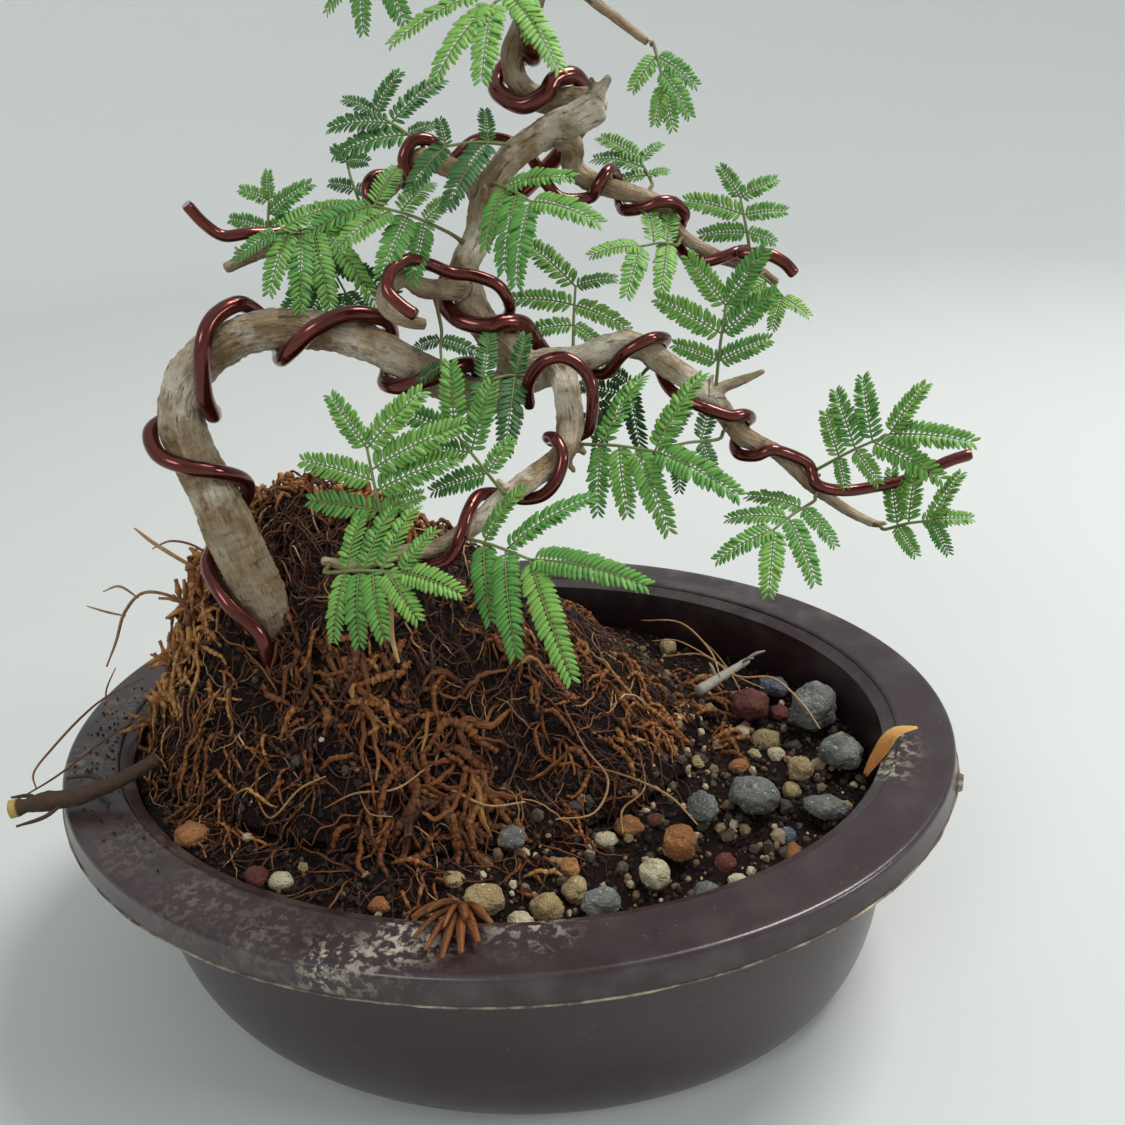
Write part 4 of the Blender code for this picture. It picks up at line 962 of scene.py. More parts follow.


# listed roots and sprigs: route points, radius and tone
STRAY_ROOTS = (
    (
        [(-80, -20, 80), (-88, -24, 77), (-95, -26, 72), (-99, -32, 68), (-99, -40, 66.5), (-95, -45, 66)],
        0.32, 0.55,
    ),
    ([(-78, -26, 74), (-86, -33, 70), (-92, -42, 67), (-97, -50, 66)], 0.3, 0.4),
    (
        [(-66, -6, 88), (-74, -8, 95), (-82, -9, 97), (-88, -10, 92), (-91, -12, 85), (-94, -14, 79)],
        0.42, 0.8,
    ),
    ([(-84, -9, 95.5), (-89, -8, 98), (-93, -9, 97)], 0.32, 0.85),
    ([(-88, -10, 91), (-93, -10, 92), (-97, -11, 94)], 0.28, 0.8),
    ([(-66, -3, 98), (-73, -4, 103), (-80, -4, 108), (-83, -5, 112)], 0.5, 0.9),
    ([(-65, -2, 101), (-70, -2, 106), (-77, -1, 107), (-84, 1, 104)], 0.3, 0.55),
    ([(-62, 3, 104), (-64, 2, 110), (-66, 1, 118), (-69, 0, 122)], 0.4, 0.85),
    ([(-45, 10, 112), (-43, 9, 118), (-39, 8, 122), (-36, 8, 121)], 0.3, 0.7),
    ([(-44, -3, 114), (-38, -4, 122), (-33, -4, 124), (-30, -4, 121), (-31, -4, 117)], 0.16, 0.6),
    ([(-90, -16, 80), (-93, -18, 74), (-92, -20, 68)], 0.22, 0.75),
    ([(38, 22, 66), (48, 27, 64), (57, 22, 61), (66, 20, 62), (73, 12, 60), (77, 6, 57)], 0.3, 0.9),
    ([(32, 30, 72), (42, 33, 70), (50, 26, 66), (53, 18, 63)], 0.28, 0.85),
    ([(18, -8, 70), (24, -16, 64), (30, -22, 60), (28, -30, 57), (20, -33, 57)], 0.3, 0.85),
    ([(26, -20, 62), (36, -19, 58), (44, -22, 56), (50, -28, 54)], 0.28, 0.9),
    ([(-12, -36, 64), (-4, -34, 64.5), (6, -36, 62), (14, -34, 62)], 0.32, 0.88),
    ([(-43, -43, 67), (-38, -47, 64), (-33, -42, 68), (-28, -39, 69.5)], 0.26, 0.85),
    ([(-27, -44, 65), (-21, -41, 67), (-13, -38, 66.5), (-7, -33, 69)], 0.28, 0.9),
    ([(-20, -41, 67), (-17, -44, 64.5), (-12, -44, 64)], 0.2, 0.85),
    ([(33, 44, 58), (40, 48, 56), (50, 45, 52), (57, 38, 51), (64, 34, 50)], 0.26, 0.9),
    ([(44, 56, 54), (50, 48, 53), (55, 38, 52), (58, 30, 51)], 0.22, 0.85),
    ([(35, -6, 57), (37, -14, 52), (33, -22, 52), (34, -30, 52)], 0.3, 0.8),
    ([(-5, -44.5, 121), (-4.5, -45.5, 115), (-5, -46, 108), (-4.2, -46.5, 103)], 0.55, 0.95),
    ([(-6.5, -44.5, 121), (-7.5, -46, 116), (-7.2, -47, 111)], 0.35, 0.75),
    ([(-5, -43.5, 121), (-2.5, -45, 117), (-1.5, -46, 113)], 0.3, 0.7),
)

# places and sizes of the fronds of the dried sprig that lies over the front of the rim
SPRIG_FOOT = (9.0, -66.5, 63.5)
SPRIG_FRONDS = (
    (2, -73, 66.0, 0.9), (3.5, -77, 65.4, 1.0), (6.5, -79.5, 65.4, 1.1), (10, -81, 65.5, 1.2),
    (13, -79.5, 65.6, 1.1), (15.5, -77, 65.8, 1.0), (17, -73, 66.4, 0.9), (5, -72.5, 67.4, 0.9),
    (12.5, -73.5, 67.6, 1.0), (9, -75.5, 67.3, 1.0),
)


# sprigs that stand out from the left of the mound: x, y, strands, reach, tone
SPRIGS = (
    (-78, -10, 8, 7, 0.85), (-82, -16, 7, 7, 0.8), (-74, -4, 8, 7, 0.9), (-69, 1, 7, 6, 0.9),
    (-64, 6, 6, 6, 0.85), (-57, 9, 6, 6, 0.75), (-84, -22, 6, 6, 0.8), (-48, 12, 6, 6, 0.7),
    (-36, 15, 6, 5, 0.65), (-72, -22, 5, 6, 0.85),
)


def make_stray_roots(ground):
    gather = Gather()
    for route, radius, tone in STRAY_ROOTS:
        line = spline(route, 6)
        tube(gather, line, radius * taper(len(line), 0.3), 6, np.linspace(tone * 0.7, tone, len(line)))
    gathered_piece("stray_roots", gather, [FINISHES["roots"]])
    draw = random.Random(3)
    sprig = Gather()
    foot = np.array(SPRIG_FOOT)
    for x, y, z, radius in SPRIG_FRONDS:
        tip = np.array((x, y, z))
        middle = (foot + tip) / 2 + UP * 1.4
        add_bract(sprig, draw, [foot, middle, tip], radius, 0.42 + draw.uniform(-0.1, 0.15))
    for x, y, count, reach, tone in SPRIGS:
        found = drop(ground, x, y)
        for _ in range(count if found else 0):
            start = np.array((x + draw.uniform(-2, 2), y + draw.uniform(-2, 2), found[0] - 1.0))
            way = np.array((draw.uniform(-1.1, 0.3), draw.uniform(-0.7, 0.5), draw.uniform(-0.1, 1.0)))
            middle = start + unit(way) * reach * 0.55
            tip = start + unit(way + (0, 0, draw.uniform(-0.7, 0.3))) * reach
            radius, own_tone = draw.uniform(0.40, 0.75), tone + draw.uniform(-0.15, 0.1)
            moss_strand(sprig, draw, [start, middle, tip], radius, own_tone)
    gathered_piece("moss_sprigs", sprig, [FINISHES["moss"]])


def crumb_shape():
    """A small faceted lump with twenty faces."""
    golden = (1 + math.sqrt(5)) / 2
    corners = np.array([
        (-1, golden, 0), (1, golden, 0), (-1, -golden, 0), (1, -golden, 0), (0, -1, golden), (0, 1, golden),
        (0, -1, -golden), (0, 1, -golden), (golden, 0, -1), (golden, 0, 1), (-golden, 0, -1), (-golden, 0, 1),
    ])
    faces = [
        (0, 11, 5), (0, 5, 1), (0, 1, 7), (0, 7, 10), (0, 10, 11), (1, 5, 9), (5, 11, 4), (11, 10, 2),
        (10, 7, 6), (7, 1, 8), (3, 9, 4), (3, 4, 2), (3, 2, 6), (3, 6, 8), (3, 8, 9), (4, 9, 5), (2, 4, 11),
        (6, 2, 10), (8, 6, 7), (9, 8, 1),
    ]
    return corners / np.linalg.norm(corners[0]), faces


def scatter(gather, ground, draw, x, y, size, tone):
    found = drop(ground, x, y)
    if found is None:
        return
    corners, faces = crumb_shape()
    stretch = np.array([draw.uniform(0.7, 1.25) for _ in range(3)])
    jitter = np.array([draw.uniform(0.82, 1.12) for _ in range(12)])[:, None]
    turn = draw.uniform(0, math.tau)
    spin = np.array([[math.cos(turn), -math.sin(turn), 0], [math.sin(turn), math.cos(turn), 0], [0, 0, 1]])
    lump = (corners * jitter * stretch * size) @ spin.T + (x, y, found[0] + size * 0.35)
    gather.add(lump, faces, tone)


PEAT_CRUMBS = 4600
GRAVEL_GRIT = 900
SPILT_CRUMBS = 130


def make_crumbs(ground):
    """Peat crumbs everywhere, gravel grit on the right, and soil spilt on the left of the rim."""
    draw = random.Random(23)
    half = HALF_LENGTH - RIM_WIDTH - WALL - 1.2
    crumbs, grit = Gather(), Gather()
    for _ in range(PEAT_CRUMBS):
        turn, share = draw.uniform(0, math.tau), draw.random() ** 0.5
        x, y = half * share * math.cos(turn), (half - HALF_DIFFERENCE) * share * math.sin(turn)
        scatter(crumbs, ground, draw, x, y, draw.uniform(0.25, 0.95), max(0.0, draw.gauss(0.32, 0.22)))
    for _ in range(GRAVEL_GRIT):
        turn, share = draw.uniform(-2.3, 1.2), draw.uniform(0.30, 1.0) ** 0.7
        x, y = half * share * math.cos(turn), (half - HALF_DIFFERENCE) * share * math.sin(turn)
        size = draw.choice((0.35, 0.5, 0.7, 0.9, 1.3))
        if draw.random() < 0.05:
            size = draw.uniform(1.5, 2.2)
        if x > 6 or draw.random() < 0.25:
            scatter(grit, ground, draw, x, y, size, draw.random() ** 2.3)
    for _ in range(SPILT_CRUMBS):
        turn = math.radians(draw.gauss(205, 16))
        out = HALF_LENGTH - draw.uniform(2.0, RIM_WIDTH)
        x, y = out * math.cos(turn), (out - HALF_DIFFERENCE) * math.sin(turn)
        size = draw.uniform(0.12, 0.34)
        corners, faces = crumb_shape()
        crumbs.add(corners * size + (x, y, POT_HEIGHT + size * 0.4), faces, draw.uniform(0.0, 0.5))
    gathered_piece("peat_crumbs", crumbs, [FINISHES["crumbs"]], flat_angle=30)
    gathered_piece("grit", grit, [FINISHES["grit"]], flat_angle=30)


# ---------------------------------------------------------------- stones
def fine_sphere(steps):
    """Directions evenly over a sphere, with faces between them."""
    corners, faces = crumb_shape()
    for _ in range(steps):
        middles, split = {}, []
        corners = list(corners)
        for a, b, c in faces:
            edge = []
            for pair in ((a, b), (b, c), (c, a)):
                key = tuple(sorted(pair))
                if key not in middles:
                    middles[key] = len(corners)
                    corners.append(unit((corners[key[0]] + corners[key[1]]) / 2))
                edge.append(middles[key])
            split += [(a, edge[0], edge[2]), (b, edge[1], edge[0]), (c, edge[2], edge[1]), tuple(edge)]
        faces = split
    return np.array([unit(c) for c in corners]), faces


SPHERE = fine_sphere(4)
# smaller pebbles in the gravel and on the soil: x, y, size, slot
PEBBLES = (
    (30, -29.5, 2.3, "stone_cream"), (34.5, -24, 2.9, "stone_orange"), (11, -36, 3.0, "stone_grey"),
    (21.5, -52.5, 3.2, "stone_tan"), (70.5, -27, 2.6, "stone_orange"), (64.5, 14.5, 3.0, "stone_tan"),
    (67, 8, 2.2, "stone_cream"), (-55, -51, 3.2, "stone_orange"), (-36, -59.5, 2.6, "stone_red"),
    (-31, -59, 2.2, "stone_cream"), (36, 57, 2.8, "stone_tan"), (53, -42, 3.0, "stone_grey"),
    (24, -40, 2.4, "stone_orange"), (17, -57, 2.2, "stone_cream"), (56, -31, 2.2, "stone_red"),
    (48, 4, 2.0, "stone_tan"), (70.5, -5.5, 2.0, "stone_tan"), (58, 2, 1.9, "stone_orange"),
    (26, -46, 2.6, "stone_tan"), (68, 27.5, 2.4, "stone_red"), (40, -20, 2.0, "stone_red"),
    (74, 29, 2.8, "stone_blue"), (59, -37, 1.9, "stone_cream"), (28.5, -57, 3.0, "stone_grey"),
    (69, -21, 2.2, "stone_blue"), (38, -56, 2.2, "stone_tan"), (-10, -61, 2.0, "stone_orange"),
    (2, -50, 1.9, "stone_tan"), (61, -4.5, 2.2, "stone_grey"),
)
STONE_SLOTS = {
    "stone_tall_grey": "stone_grey", "stone_wall_grey": "stone_grey", "stone_red": "stone_red",
    "stone_blue_grey": "stone_blue", "stone_tan": "stone_tan", "stone_broad_grey": "stone_grey",
    "stone_flat_grey": "stone_grey", "stone_small_grey": "stone_grey", "stone_orange": "stone_orange",
    "stone_cream": "stone_cream", "stone_front_grey": "stone_grey", "stone_yellow": "stone_tan",
}


def pebble_skin(middle, reaches, size):
    """A weathered pebble: its corners at the given reaches from its middle, rough and pitted."""
    ways = SPHERE[0]
    points = np.empty_like(ways)
    for i, way in enumerate(ways):
        place = way * size + middle
        rough = 0.11 * lumps(place, size * 0.8, 4) + 0.05 * lumps(place, size * 0.25, 3)
        pit = noise.cell_vector(Vector(place) / (size * 0.30))[0] - 0.78
        points[i] = middle + way * reaches[i] * (1 + rough - 0.16 * max(0.0, pit))
    return points


def make_stone(node, slot):
    """The pebble in the place of its CAD node, its facets worn round."""
    corners, faces = node_shape(node)
    middle = corners.mean(0)
    shell = BVHTree.FromPolygons(corners.tolist(), faces)
    ways, skin = SPHERE
    size = float(np.linalg.norm(corners - middle, axis=1).mean())
    reaches = np.empty(len(ways))
    draw = random.Random(sum(map(ord, node)))
    offsets = [np.array([draw.gauss(0, 0.2) for _ in range(3)]) for _ in range(9)]
    for i, way in enumerate(ways):
        hits = [shell.ray_cast(Vector(middle), Vector(unit(way + offset)))[3] for offset in offsets]
        reaches[i] = np.mean([h for h in hits if h] or [size])
    points = pebble_skin(middle, reaches * 1.03, size)
    low = np.clip(1 - (points[:, 2] - points[:, 2].min()) / (0.55 * size), 0, 1)
    piece(f"{node}_pebble", points, skin, [STONE_FINISHES[slot]], [node], tones=low)


def make_pebbles(ground):
    draw = random.Random(77)
    coarse = fine_sphere(3)
    for number, (x, y, size, slot) in enumerate(PEBBLES):
        found = drop(ground, x, y)
        if found is None:
            continue
        stretch = np.array([draw.uniform(0.8, 1.25), draw.uniform(0.8, 1.2), draw.uniform(0.75, 1.0)])
        middle = np.array((x, y, found[0] + size * 0.35))
        points = np.empty_like(coarse[0])
        for i, way in enumerate(coarse[0]):
            place = way * size + middle
            rough = 0.22 * lumps(place, size * 1.1, 3) + 0.05 * lumps(place, size * 0.3, 3)
            points[i] = middle + way * stretch * size * (1 + rough)
        low = np.clip(1 - (points[:, 2] - points[:, 2].min()) / (0.6 * size), 0, 1)
        piece(f"small_pebble_{number + 1}", points, coarse[1], [STONE_FINISHES[slot]], tones=low)


# ---------------------------------------------------------------- the tree's wood
# route points up each limb in mm, then the radius at each
LIMBS = {
    "arch": (
        [
            (-51, -11, 82), (-50.5, -11, 94), (-53, -11.5, 108), (-57, -11, 124), (-60.5, -11, 138),
            (-58, -10.5, 147), (-52, -9.5, 153.5), (-42, -7, 157.5), (-30, -5.5, 157.5), (-18.5, -4, 154),
            (-8, -3.5, 148), (1.5, -3, 142.8), (8, -2.5, 142.5), (13, -1.5, 145),
        ],
        [6.2, 6.2, 5.9, 5.3, 5.0, 4.6, 4.3, 4.2, 4.0, 3.9, 3.8, 3.8, 4.0, 4.4],
    ),
    "leader": (
        [
            (13, -1.5, 143.5), (12, -1.5, 150), (7, -1.5, 155.5), (4, -1, 161), (3, -0.5, 167.5),
            (6, 1.5, 173.5), (8, 3.5, 181), (11.5, 5.5, 186), (16.5, 6.5, 189.5), (22, 7, 192.3),
            (27, 7, 193.8), (30.5, 8, 195.3),
        ],
        [4.4, 3.9, 3.4, 3.2, 3.1, 2.9, 2.7, 2.8, 2.9, 3.0, 3.1, 3.0],
    ),
    "crown": (
        [
            (30.5, 8.5, 195.5), (26, 11, 196.6), (20, 11.3, 196.8), (16, 10.5, 199), (14, 10, 202.5),
            (14, 9.5, 206), (16.5, 9, 210), (19.5, 8.5, 214.5), (21.5, 8, 220.5), (21.5, 7, 227),
            (20, 5.5, 233),
        ],
        [2.9, 2.6, 2.4, 2.3, 2.3, 2.2, 2.1, 2.0, 1.8, 1.5, 0.9],
    ),
    "upper_right": (
        [
            (22, 7.5, 191.5), (24, 13, 188.5), (23.5, 15.5, 184.5), (28, 15.5, 181), (38.5, 16.5, 177.5),
            (42, 17.5, 174.3), (45.5, 18, 169.5), (53.5, 18.5, 164.7), (60, 19, 162.5), (65, 19, 159.2),
        ],
        [2.6, 2.4, 2.3, 2.1, 1.8, 1.6, 1.5, 1.4, 1.2, 0.8],
    ),
    "upper_left": (
        [
            (7.5, 3.5, 179.5), (4, 5, 184.3), (-2, 7.5, 187), (-6.5, 9, 188.2), (-10.5, 10, 186),
            (-15, 11, 183), (-19, 12, 180), (-25, 12.3, 177), (-32, 11.5, 174.3), (-38, 10, 173.2),
            (-45.5, 8.5, 171.2), (-52.5, 6, 168.8),
        ],
        [2.4, 2.2, 2.1, 2.1, 2.0, 2.0, 1.9, 1.8, 1.7, 1.6, 1.4, 1.3],
    ),
    "hook": (
        [
            (3, -1, 164), (-3, -8.5, 165.3), (-5.5, -12.5, 168), (-8.5, -15, 166.5), (-8.5, -16.5, 163.5),
            (-5.5, -16.7, 161), (-1, -17, 160),
        ],
        [2.3, 2.0, 1.8, 1.7, 1.6, 1.5, 1.2],
    ),
    "long_right": (
        [
            (13, -1, 146), (18, -1.3, 148.2), (25, -0.7, 148.7), (30.5, -0.5, 150.5), (34.5, 0, 151.5),
            (38.5, 0, 150.5), (42, 0.7, 147.5), (51, 0.8, 141), (55.5, 1.5, 135), (59, 1.5, 131),
            (65.5, 2, 127.5), (72, 3, 120.5), (80.5, 5, 113.5), (86, 6.3, 110),
        ],
        [3.6, 3.1, 2.9, 2.9, 2.8, 2.6, 2.5, 2.3, 2.2, 2.0, 1.7, 1.4, 1.2, 1.0],
    ),
    "side_stub": ([(51, 1, 140.8), (57.5, 0.3, 143.3), (62.5, -0.8, 145.6)], [1.5, 1.1, 0.6]),
    "low_front": (
        [
            (14, -1, 145.5), (20, -5, 147.3), (23.3, -8.5, 146.8), (24.8, -12, 143), (25.4, -15, 138.5),
            (24.4, -19.3, 134.8), (20.3, -24.3, 132.5), (15.5, -28.5, 130), (11.5, -31.3, 127),
            (7.5, -34.2, 124.5), (3, -37, 122.5), (-3, -40.5, 123), (-11, -43.3, 121.7), (-17, -44.6, 123),
        ],
        [3.6, 3.1, 2.9, 2.7, 2.5, 2.4, 2.3, 2.2, 2.1, 1.9, 1.8, 1.5, 1.2, 0.9],
    ),
    "top_right": (
        [(21, 8, 220), (26, 7.7, 217.5), (30, 7.6, 213.5), (34, 7.4, 210.4), (40.4, 6.7, 205.5)],
        [1.5, 1.2, 1.1, 1.0, 0.8],
    ),
    "top_left": ([(21.5, 7.5, 223), (13, 7.5, 228), (4, 6.5, 229), (-4, 5, 227)], [1.3, 1.1, 0.9, 0.7]),
}

# short spurs, buds and broken ends: foot, tip, radius at the foot
SPURS = (
    ((29, 8, 196), (33, 7, 200.5), 1.5), ((30, 8, 197), (29.5, 6.5, 200.5), 1.0),
    ((25.5, -15.5, 137), (28.5, -17, 134), 1.3), ((24.5, -19, 134), (26.5, -19, 131), 0.9),
    ((15, -29, 130.5), (14, -30, 133.5), 1.0), ((2.5, -37, 122), (1.5, -39, 119), 1.1),
    ((-38, 10, 174), (-37, 9, 177), 0.9), ((-48, 8, 170.5), (-50.5, 8, 173), 0.7),
    ((42, 17.5, 174), (44.5, 17, 177.5), 0.9), ((72, 3, 121), (74.5, 1.5, 123), 0.8),
    ((86, 6.3, 110), (88.5, 4, 111), 0.9), ((-59.5, -14.5, 137), (-61, -17, 139), 1.0),
    ((8, 0, 181), (9.5, -3, 183), 0.9), ((35, 0, 152), (36, -0.5, 155), 0.9),
    ((51, 1, 141.5), (52.5, 0, 145), 0.8),
)

# knots and swellings: place, reach in mm, how much they stand out, how dark they are
KNOTS = (
    ((-61, -15.5, 139), 4.5, 0.9, 0.75), ((-55.5, -15, 116), 4.0, 0.7, 0.6),
    ((-52, -16, 103), 3.0, 0.4, 0.35), ((-25, -9.5, 158), 4.0, 0.5, 0.3), ((-8, -7, 148), 3.6, 0.5, 0.5),
    ((13, -4, 147), 6.0, 0.7, 0.35), ((3, -3, 163), 4.5, 0.6, 0.4), ((7, 1.5, 179), 4.5, 0.5, 0.5),
    ((30, 6, 196), 5.0, 0.5, 0.3), ((22, 6, 189), 5.0, 0.4, 0.85), ((42, 0, 148), 3.5, 0.5, 0.4),
    ((24, -14, 139), 4.0, 0.5, 0.25), ((-15, 10, 183), 3.5, 0.5, 0.6), ((59, 1.5, 131), 3.0, 0.4, 0.4),
)

# places where the bark is weathered nearly white, and their reach
PALE = (
    ((18, 6, 190), 9.0), ((26, 7, 194), 9.0), ((22, -10, 144), 10.0), ((20, -24, 132), 11.0),
    ((12, -31, 127), 8.0), ((28, 0, 150), 10.0), ((-45, -8, 156), 10.0), ((-58, -11, 146), 7.0),
    ((5, 0, 170), 7.0), ((-20, -4, 155), 8.0), ((50, 1, 141), 9.0), ((-30, 12, 175), 8.0),
    ((-56, -14, 124), 6.0),
)
BARK_VOXEL = 0.42


def wood_samples():
    """Centre, radius, distance along the limb and two directions across it, all along the wood."""
    found = []
    for number, (route, radii) in enumerate(LIMBS.values()):
        line, sizes = spline(route, 8), spread(radii, 8)
        _, across, beside = frames(line)
        steps = np.linalg.norm(np.diff(line, axis=0), axis=1)
        along = np.concatenate([[0.0], np.cumsum(steps)]) + 300.0 * number
        found += list(zip(line, sizes, along, across, beside))
    return found


WOOD = wood_samples()
WOOD_TREE = kdtree.KDTree(len(WOOD))
for place, sample in enumerate(WOOD):
    WOOD_TREE.insert(Vector(sample[0]), place)
WOOD_TREE.balance()


def nearest_wood(point):
    return WOOD[WOOD_TREE.find(Vector(point))[1]]


def make_tree():
    """The trunk and branches as one skin, with ridged bark, knots and broken spurs."""
    rough = Gather()
    for route, radii in LIMBS.values():
        tube(rough, spline(route, 8), spread(radii, 8) * 0.97, 20)
    for foot, tip, radius in SPURS:
        middle = (np.array(foot) + tip) / 2
        tube(rough, [foot, middle, tip], [radius, radius * 0.8, radius * 0.55], 10)
    points, normals, skin = remeshed(rough.all_corners(), rough.faces, BARK_VOXEL, 4)
    count = len(points)
    grain, tones, pale, out = np.zeros((count, 3)), np.zeros(count), np.zeros(count), np.zeros(count)
    for i, point in enumerate(points):
        centre, radius, along, across, beside = nearest_wood(point)
        away = point - centre
        turn = math.atan2(away.dot(beside), away.dot(across))
        grain[i] = (along * 0.22, math.cos(turn) * radius, math.sin(turn) * radius)
        round_limb = Vector((along * 0.10, math.cos(turn) * 2.2, math.sin(turn) * 2.2))
        ridges = noise.noise(round_limb + Vector(point) * 0.02)
        on_bark = Vector((along * 0.45, math.cos(turn) * radius, math.sin(turn) * radius))
        flakes = noise.fractal(on_bark, 0.8, 2.2, 4)
        strength = min(1.0, radius / 4.0)
        out[i] = strength * (0.55 * ridges * radius / 4.0 + 0.34 * flakes)
        out[i] += 0.14 * lumps(point, 1.6, 2) * strength
    for place, reach, swell, dark in KNOTS:
        away = np.linalg.norm(points - place, axis=1) / reach
        out += swell * np.exp(-(away**2) * 2.2) * (1 - 0.8 * np.exp(-(away**2) * 18))
        tones = np.maximum(tones, dark * np.exp(-(away**2) * 7.0))
    for place, reach in PALE:
        away = np.linalg.norm(points - place, axis=1) / reach
        pale = np.maximum(pale, np.exp(-(away**2) * 1.2))
    near_soil = np.clip((100.0 - points[:, 2]) / 12.0, 0, 1) * (points[:, 0] < 0)
    tones = np.maximum(tones, 0.55 * near_soil)
    points = points + normals * out[:, None]
    tree = piece("tree_wood", points, skin, [FINISHES["bark"]], ["trunk_and_branches"], tones=tones)
    mesh = tree.data
    grains = mesh.attributes.new("grain", "FLOAT_VECTOR", "POINT")
    grains.data.foreach_set("vector", grain.astype(np.float32).ravel())
    weathered = mesh.attributes.new("pale", "FLOAT", "POINT")
    weathered.data.foreach_set("value", (0.25 + 0.75 * pale).astype(np.float32))


# ---------------------------------------------------------------- wires
THICK_WIRE = 1.75
THIN_WIRE = 1.25
WIRE_CLEARANCE = 0.30
FRONT = unit(np.array((0.2, -0.95, 0.25)))


def place_on(route, t):
    """The point at t, counted in route points, on the smooth curve through a route."""
    last = len(route) - 1
    t = min(max(t, 0.0), float(last))
    i = min(int(t), last - 1)
    low = max(i - 1, 0)
    piece_of_line = spline(route[low : i + 3], 50)
    return piece_of_line[min(round((t - low) * 50), len(piece_of_line) - 1)]


def wound(limb, marks, wire_radius):
    """Points of a wire wound round a limb.

    Each mark is a place on the limb and the quarter turns made by then. Quarter turn 0 is on the front, 1 is
    on the limb's right where it grows upwards.
    """
    route, radii = LIMBS[limb]
    turns = []
    for (t0, q0), (t1, q1) in zip(marks, marks[1:]):
        pieces = max(1, round(abs(q1 - q0) * 2))
        turns += [(t0 + (t1 - t0) * i / pieces, q0 + (q1 - q0) * i / pieces) for i in range(pieces)]
    turns.append(marks[-1])
    points = []
    for t, quarter in turns:
        ahead = unit(place_on(route, t + 0.04) - place_on(route, t - 0.04))
        face = unit(FRONT - ahead * FRONT.dot(ahead))
        side = np.cross(ahead, face)
        turn = quarter * math.pi / 2
        reach = np.interp(t, range(len(radii)), radii) + wire_radius + WIRE_CLEARANCE
        points.append(place_on(route, t) + (face * math.cos(turn) + side * math.sin(turn)) * reach)
    return points


def wire_routes():
    arch = [(-47.5, -19.5, 82), (-47.8, -19.5, 92)] + wound(
        "arch",
        [
            (1.5, -0.4), (2.0, -1), (2.5, -2), (3.0, -3), (3.5, -4), (4.0, -5), (4.2, -6), (4.5, -7),
            (5.4, -7.4), (6.2, -8), (6.9, -9), (7.15, -10), (7.45, -11), (8.2, -12), (9.1, -13),
            (9.35, -14), (9.6, -15), (10.3, -16), (10.9, -17), (11.2, -18),
        ],
        THICK_WIRE,
    )
    trunk = (
        [(22, 7.5, 144.5), (19, 5.5, 146)]
        + wound("leader", [(1.0, 1.3), (2.1, 0), (3.3, -1), (4.2, -2)], THICK_WIRE)
        + [(9, 10.5, 177), (13.5, 15.5, 181), (19, 20.5, 186), (24.5, 20, 191.5)]
        + wound(
            "crown",
            [
                (0.95, 2), (1.2, 1), (2.1, 0), (3.6, -1), (4.4, -2), (5.2, -3), (6.4, -4), (7.2, -5),
                (7.8, -6), (8.4, -7),
            ],
            THICK_WIRE,
        )
    )
    upper = (
        [(-53, -3.5, 183), (-51.5, -1, 179), (-49, 1.5, 176), (-44.5, 3.5, 176)]
        + wound(
            "upper_left",
            [
                (9.3, 0.6), (8.7, 2), (8.2, 3.4), (7.6, 4.6), (6.8, 6), (6.2, 7.2), (5.4, 8.6), (4.8, 10),
                (4.0, 11.2), (3.0, 12.6), (2.2, 14),
            ],
            THIN_WIRE,
        )
        + [(4, 11.5, 190.5), (10, 12.5, 190.5), (15, 12.8, 187.5), (18, 11, 183), (21.5, 10.5, 179)]
        + wound(
            "upper_right",
            [
                (3.0, 0.7), (3.25, -0.9), (3.45, -2), (3.65, -3), (4.3, -4), (5.4, -5), (5.9, -6), (6.4, -7),
                (7.0, -8), (7.6, -8.8),
            ],
            THIN_WIRE,
        )
        + [(57.5, 14.8, 166), (62.4, 14.2, 165.8), (66, 14.5, 164), (68.3, 14.6, 161.5)]
    )
    hook = [
        (-1, -21.3, 162.5), (-3.5, -21.6, 164.5), (-6, -21, 167.3), (-5.8, -18.5, 170.3),
        (-3.7, -14.3, 171.6), (-0.8, -10.3, 170), (2.4, -8, 168), (6.5, -6.3, 167), (10.6, -4.6, 164.8),
        (12.2, -2.6, 161), (10.6, 1.5, 157.6), (6.5, 5.6, 154.6),
    ]
    long_right = wound(
        "long_right",
        [
            (1.6, 2), (2.8, 1), (4.2, 0.3), (5.0, -0.3), (5.6, -1), (6.0, -2), (6.6, -3), (7.7, -4),
            (8.5, -5), (8.8, -6), (9.1, -7), (9.8, -8), (10.6, -8.6),
        ],
        THIN_WIRE,
    )
    long_right += [
        (73.5, -0.5, 121.5), (79, 1.5, 119.4), (85, 3, 119.6), (92.5, 4.7, 120.8), (100, 6.3, 124),
        (104.5, 7.3, 125.2),
    ]
    low_front = [
        (16.2, -9.5, 141.5), (17, -12, 147), (20.4, -13, 151.2), (24.6, -12.8, 152), (28.4, -13, 149.5),
        (30, -14, 145.5),
    ] + wound(
        "low_front",
        [
            (3.8, -1.2), (4.1, -2), (4.6, -3), (5.4, -4), (6.2, -5), (7.0, -6), (7.9, -7), (9.2, -8),
            (10.6, -9), (11.3, -9.6),
        ],
        THIN_WIRE,
    )
    return {
        "arch_wire": (arch, THICK_WIRE), "trunk_wire": (trunk, THICK_WIRE), "upper_wire": (upper, THIN_WIRE),
        "hook_wire": (hook, THIN_WIRE), "long_right_wire": (long_right, THIN_WIRE),
        "low_front_wire": (low_front, THIN_WIRE),
    }


